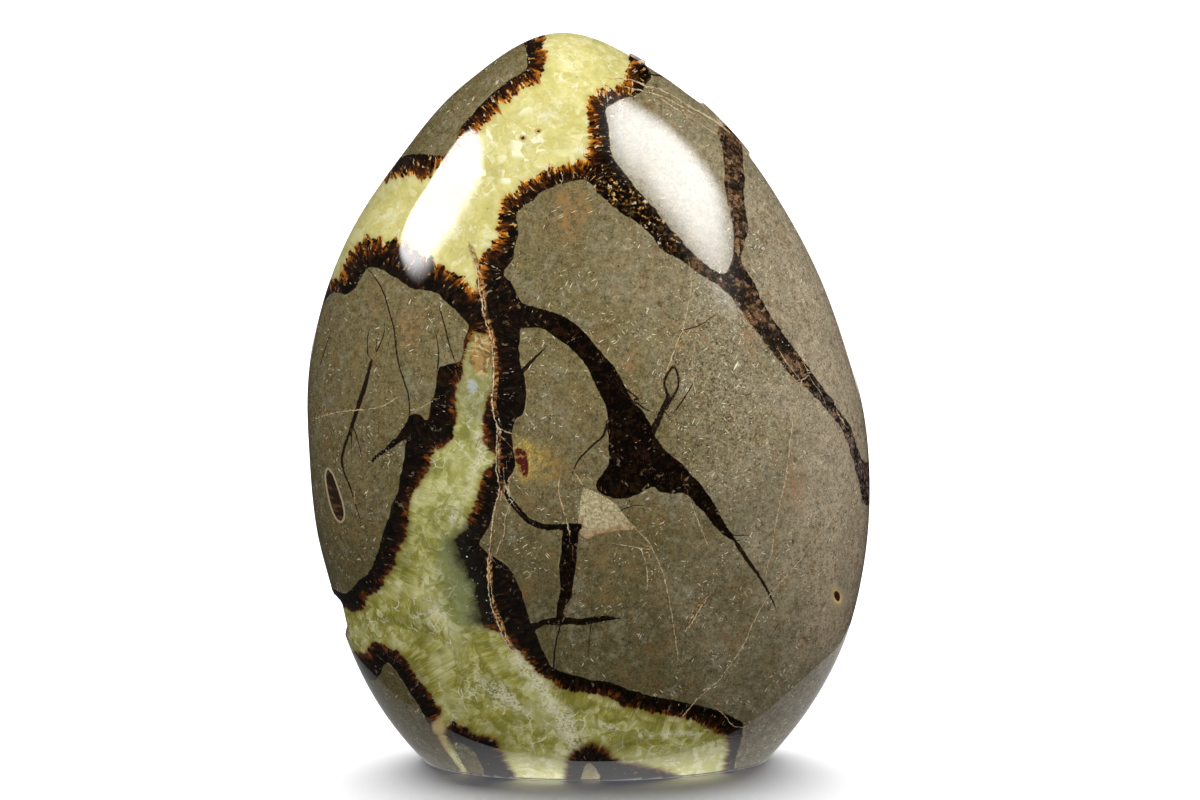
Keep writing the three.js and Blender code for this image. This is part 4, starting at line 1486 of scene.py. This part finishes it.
crumbs = noise(0.55, detail=4, roughness=0.75)
block_edge = cells(3.2, at=bent, feature="DISTANCE_TO_EDGE")
white_edge = (block_edge + (crumbs - 0.5) * 0.14).fade(0.045, 0.0) * slow.fade(0.5, 0.62)
white_edge = white_edge * (toward_middle * 0.8 + 0.2)
white_seam = (seam_core + (crumbs - 0.5) * 2.4).fade(0.8, 1.3) * noise(5, detail=3).fade(0.5, 0.62)
crust = (stored("crust") + waver(6, 2.2, detail=4, roughness=0.65)).fade(0.8, -1.6)
crust = crust * (crumbs - block_edge * 0.35).fade(0.34, 0.52)
white = white_edge.at_least(white_seam).at_least(crust)
painted_foot_light = mix(shade.fade(0.3, 0.8), tone(206, 204, 136), tone(232, 229, 186))
sliver = near(-36, 9, 5, 12).fade(0, 0.3)
calcite_colour = painted(
    calcite_colour,
    (white * 0.75, CRYSTAL_WHITE),
    # painted light at the foot
    (place_z.fade(10, 5) * 0.75, painted_foot_light),
    (sliver * 0.8, mix(crumbs, tone(176, 132, 76), tone(222, 202, 150))),
)

# %% [markdown]
# On the left below the middle the calcite is clear, so the dark stone behind it shows through. It
# looks blue-grey there and nearly black at the wall, like a deep sea, with small painted sparkles
# of light. The aragonite beside it is as dark, and has the same painted sparkles.

# %% The sea
SEA_GREY = tone(116, 124, 84)
DEEP_SEA = tone(34, 35, 24)
SEA_SPARKLE = tone(232, 236, 226)

sea = near(-26.5, 49, 12.5, 19)
sea_now = (sea * 1.4 + (wash - 0.5) * 0.8).fade(0.15, 0.7)
from_wall = calcite_now + (wash - 0.5) * 6 + (crumbs - 0.5) * 3
# painted sparkles of light
sea_sparkle = dots(1.1, 0.25, 0.6) * sea_now * grime.fade(0.45, 0.55)
calcite_colour = painted(
    calcite_colour,
    (sea_now * from_wall.fade(-11, -3) * 0.75, SEA_GREY),
    (sea_now * from_wall.fade(-3.6, 0.9) * 0.95, DEEP_SEA),
    (sea_sparkle * from_wall.fade(-9, -3), SEA_SPARKLE),
)
aragonite = painted(
    aragonite,
    (sea_now * calcite_now.fade(4.0, 0.5) * 0.9, tone(22, 22, 16)),
    (sea_sparkle * calcite_now.fade(3.4, 2.0), SEA_SPARKLE),
)

# %% [markdown]
# Where the broad arm narrows to the trunk, the calcite is duller and holds a patch of tan grains
# like bark, with a painted bluish sheen of reflected light beside it. Everywhere, its rim takes on
# some of the amber of the tips, and painted sparkles of light lie on single crystals.

# %% Calcite: the bark patch, the rim, a painted sheen and painted sparkles
BARK_TAN = tone(168, 126, 74)
BARK_BROWN = tone(98, 62, 30)

dull = near(-25, 94, 8, 15).fade(0, 0.5)
bark = (near(-23.4, 99.5, 5, 9) + waver(1.8, 1.8, detail=4, roughness=0.65)).fade(0.2, 0.6)
bark_grains = mix(noise(2.4, detail=5, roughness=0.75).fade(0.42, 0.56), BARK_BROWN, BARK_TAN)
bark_grains = mix(chips.fade(0.55, 0.9) * 0.8, bark_grains, tone(204, 188, 140))
sheen = (near(-25.6, 91.6, 2.6, 3.6) + (lines - 0.5) * 1.2).fade(0.35, 0.9)
amber_rim = calcite_now.fade(-1.4, 0.2) * (0.5 - high_up * 0.3) * (1 - sea_now)
calcite_colour = painted(
    calcite_colour,
    (dull * 0.55, tone(120, 118, 82)),
    (bark * 0.8, bark_grains),
    # painted sheen of reflected light
    (sheen * 0.6, tone(184, 192, 200)),
    (amber_rim, tone(110, 84, 34)),
    # painted sparkles of light
    (dots(1.6, 0.2, 0.16) * 0.7, tone(245, 244, 236)),
)

# %% Calcite: the two hollows
for hollow_x, hollow_z in CAVITIES:
    hollow = near(hollow_x, hollow_z, 1.6, 1.2) + (crumbs - 0.5) * 1.2
    calcite_colour = painted(
        calcite_colour,
        (hollow.fade(0.25, 0.6) * 0.6, tone(170, 132, 60)),
        (hollow.fade(0.7, 0.95), tone(56, 36, 14)),
    )
print(f"with the calcite: {len(Wire.tree.nodes)} nodes")

# %% [markdown]
# ## Cracks, hairlines and patches
#
# Late cracks crossed everything. Some are dark, some healed with cream calcite. A line is stored
# as the distance across it in half widths, so adding noise before the cut makes it waver. The
# distance in half widths and the one in millimetres together also give the line's width there.

# %% Dark cracks
wiggle = noise(1.2, detail=4, roughness=0.6) - 0.5
crumbly = noise(0.6, detail=4, roughness=0.8)
dark_side, dark_away = stored("dark_line", 0), stored("dark_line", 1)
dark_half = dark_away.math("DIVIDE", abs(dark_side))
dark_wide = dark_half.fade(0.25, 0.45)
dark_across = abs(dark_side + wiggle * (2.8 - dark_wide * 1.5))
dark_crack = dark_across.fade(1.25, 0.75) * (dark_away - dark_half).fade(0.85, 0.6)
crack_shade = mix((crumbly - dark_wide * 0.14).fade(0.42, 0.56), tone(28, 18, 10), tone(88, 58, 32))

# %% [markdown]
# The broadest healed crack, down the dark trunk, is a thin crumbly line that a second one joins
# in places, with rusty grains between them.

# %% Healed cracks
pale_side, pale_away = stored("pale_line", 0), stored("pale_line", 1)
pale_half = pale_away.math("DIVIDE", abs(pale_side))
broad = pale_half.fade(0.22, 0.32)
on_pale_line = (pale_away - pale_half).fade(0.85, 0.6)
pale_across = abs(pale_side + wiggle * (3.0 - broad * 1.2))
hairline = pale_across.fade(1.15, 0.5) * crumbly.fade(0.3, 0.46)
strand = abs(pale_side + wiggle * 3.6).fade(0.42, 0.14) * crumbly.fade(0.38, 0.52)
beside = pale_side + wiggle * 3.0 + (slower - 0.5) * 4 - 1.7
second = abs(beside).fade(0.36, 0.12) * slow.fade(0.48, 0.54) * crumbly.fade(0.42, 0.54)
pale_crack = (hairline * (1 - broad)).at_least(strand.at_least(second) * broad) * on_pale_line
rust_strip = abs(pale_side + wiggle * 3.0 - 1.2).fade(2.4, 1.2) * broad * on_pale_line
rust_strip = rust_strip * slower.fade(0.38, 0.5)

# %% [markdown]
# The patches lie in the limestone: an ochre stain, a red spot, a rough patch of sugary crystals
# and a ribbed fossil. Each has its distance stored, negative inside, and noise frays its edge.

# %% Patches
edge_noise = waver(1.2, 1.5, detail=3)
fossil_away, rough_away, ochre_away = (stored("patches", part) for part in range(3))
crumb_pick = crumbs.fade(0.4, 0.6)
ochre = (ochre_away + edge_noise * 3).fade(1.0, -2.0)
ochre_stain = noise(1.8, detail=5, roughness=0.75).fade(0.3, 0.66) * (0.25 + near(-15, 75.5, 15, 12) * 0.9)
ochre_far = mix(crumb_pick, tone(118, 82, 36), tone(158, 122, 62))
ochre_near = mix(crumb_pick, tone(150, 122, 54), tone(196, 172, 96))
red = (stored("red_spot") + edge_noise).fade(0.2, -0.2)
red_tone = mix(noise(1.1, detail=3, roughness=0.6).fade(0.52, 0.62), tone(76, 26, 20), tone(150, 112, 60))
rough = (rough_away + edge_noise * 0.5).fade(0.1, -0.1)
rough_rim = (rough_away + edge_noise).fade(-2.2, 0) * place_z.fade(64, 60)
sugar = painted(
    tone(118, 104, 68),
    (noise(0.9, detail=4, roughness=0.8).fade(0.33, 0.63), tone(192, 180, 142)),
    (dots(0.7, 0.22, 0.6), tone(240, 234, 216)),
    (rough_rim * 0.5, tone(124, 70, 44)),
)
fossil = (fossil_away + edge_noise * 0.3).fade(0.1, -0.1)
fossil_rim = abs(fossil_away + edge_noise * 0.2).fade(0.3, 0.1)
ribs = noise(1.0, detail=2, at=stretched(place, 0.2, 0.2, 1.4)).fade(0.45, 0.6)

# %% Patches laid on
limestone = painted(
    limestone,
    (ochre * ochre_stain, mix(place_x.fade(-12, -5), ochre_near, ochre_far)),
    (red, red_tone),
    (rough, sugar),
    (fossil, mix(ribs, tone(40, 28, 18), tone(84, 60, 38))),
    (fossil_rim * 0.8, tone(190, 176, 140)),
)

# %% [markdown]
# A lens of pale crystal lies round the pit. It leans, so the place is turned about the pit before
# the distance is taken. After it, the cracks cut through everything in the limestone.

# %% Round the pit
LENS_LEAN = math.radians(20)

lens_sockets = {0: place, "Center": (PIT_X, 0, PIT_Z), "Angle": LENS_LEAN}
lens_x, _, lens_z = parts(Wire.node("VectorRotate", {"rotation_type": "Y_AXIS"}, lens_sockets))
lens = ((lens_x - PIT_X) * 1.5) ** 2 + ((lens_z - PIT_Z) * 0.68) ** 2 + edge_noise * 0.5
front_only = place_y.fade(5, 0)
pit_floor = mix(crumbs.fade(0.5, 0.6), tone(34, 18, 10), tone(96, 54, 28))
limestone = painted(
    limestone,
    (lens.fade(9, 1.2) * front_only * 0.4, tone(196, 178, 136)),
    (lens.fade(2.8, 1.3) * front_only * 0.8, tone(214, 176, 112)),
    (lens.fade(1.1, 0.7) * front_only, pit_floor),
    (dark_crack * (0.8 + dark_wide * 0.2), crack_shade),
)

# %% All colours together
CONTACT_SHADOW_TONE = tone(30, 28, 16)

rust_shade = mix((crumbly * 0.6 + grit * 0.4).fade(0.42, 0.62), tone(66, 36, 16), tone(184, 132, 74))
line_shade = mix(slow.fade(0.54, 0.62) * (1 - broad), tone(214, 200, 164), tone(160, 114, 66))
# a thin painted contact shadow along the bottom edge, where the stone meets the paper
painted_contact_shadow = place_z.fade(0.7, 0.4) * place_z.fade(0.02, 0.1)
colour = painted(
    limestone,
    (in_vein, aragonite),
    (in_calcite, calcite_colour),
    (rust_strip * 0.8, rust_shade),
    (pale_crack * (0.8 + broad * 0.15), line_shade),
    (painted_contact_shadow * 0.85, CONTACT_SHADOW_TONE),
)

# %% [markdown]
# ## The polish
#
# The surface was ground with ever finer grit until it mirrors. That layer is the shader's coat:
# the colour lies below it, quite matt, and the coat on top is smooth and catches the lamps. Its
# IOR of 1.6 is that of calcite. Brown crystal in the middle and on the right took less polish
# than the rest, except at the foot. The rough patch has next to no polish, and a spot beside the
# ledge has none.

# %% Shaders
COAT_ROUGHNESS, COAT_IOR = 0.04, 1.6
GLOW_DEPTH_IN_CALCITE = 2 * MM

in_aragonite = in_vein * (1 - in_calcite)
less_polished = in_aragonite * place_x.fade(-14, -5) * place_z.fade(8, 14)
behind_ledge = near(32, 147, 12, 11).fade(0.0, 0.3)
polish = (1 - rough * 0.9) * (1 - less_polished * 0.9) * (1 - behind_ledge)
surface = {
    "Base Color": colour, "Roughness": 0.5, "IOR": 1.5, "Specular IOR Level": 0.0,
    "Coat Weight": polish, "Coat Roughness": COAT_ROUGHNESS, "Coat IOR": COAT_IOR,
}
glassy = {
    "Subsurface Weight": 0.25, "Subsurface Radius": (1.0, 0.8, 0.35),
    "Subsurface Scale": GLOW_DEPTH_IN_CALCITE,
}
opaque = Wire.node("BsdfPrincipled", None, surface)
lucent = Wire.node("BsdfPrincipled", None, {**surface, **glassy})
both = Wire.node("MixShader", None, {0: in_calcite, 1: opaque, 2: lucent})
Wire.node("OutputMaterial", None, {"Surface": both})
print(f"material: {len(Wire.tree.nodes)} nodes")
nodule_mesh.materials.append(stone)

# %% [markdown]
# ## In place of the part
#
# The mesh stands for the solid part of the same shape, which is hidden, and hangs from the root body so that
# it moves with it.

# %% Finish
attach(polished_nodule, "root")
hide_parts("nodule")
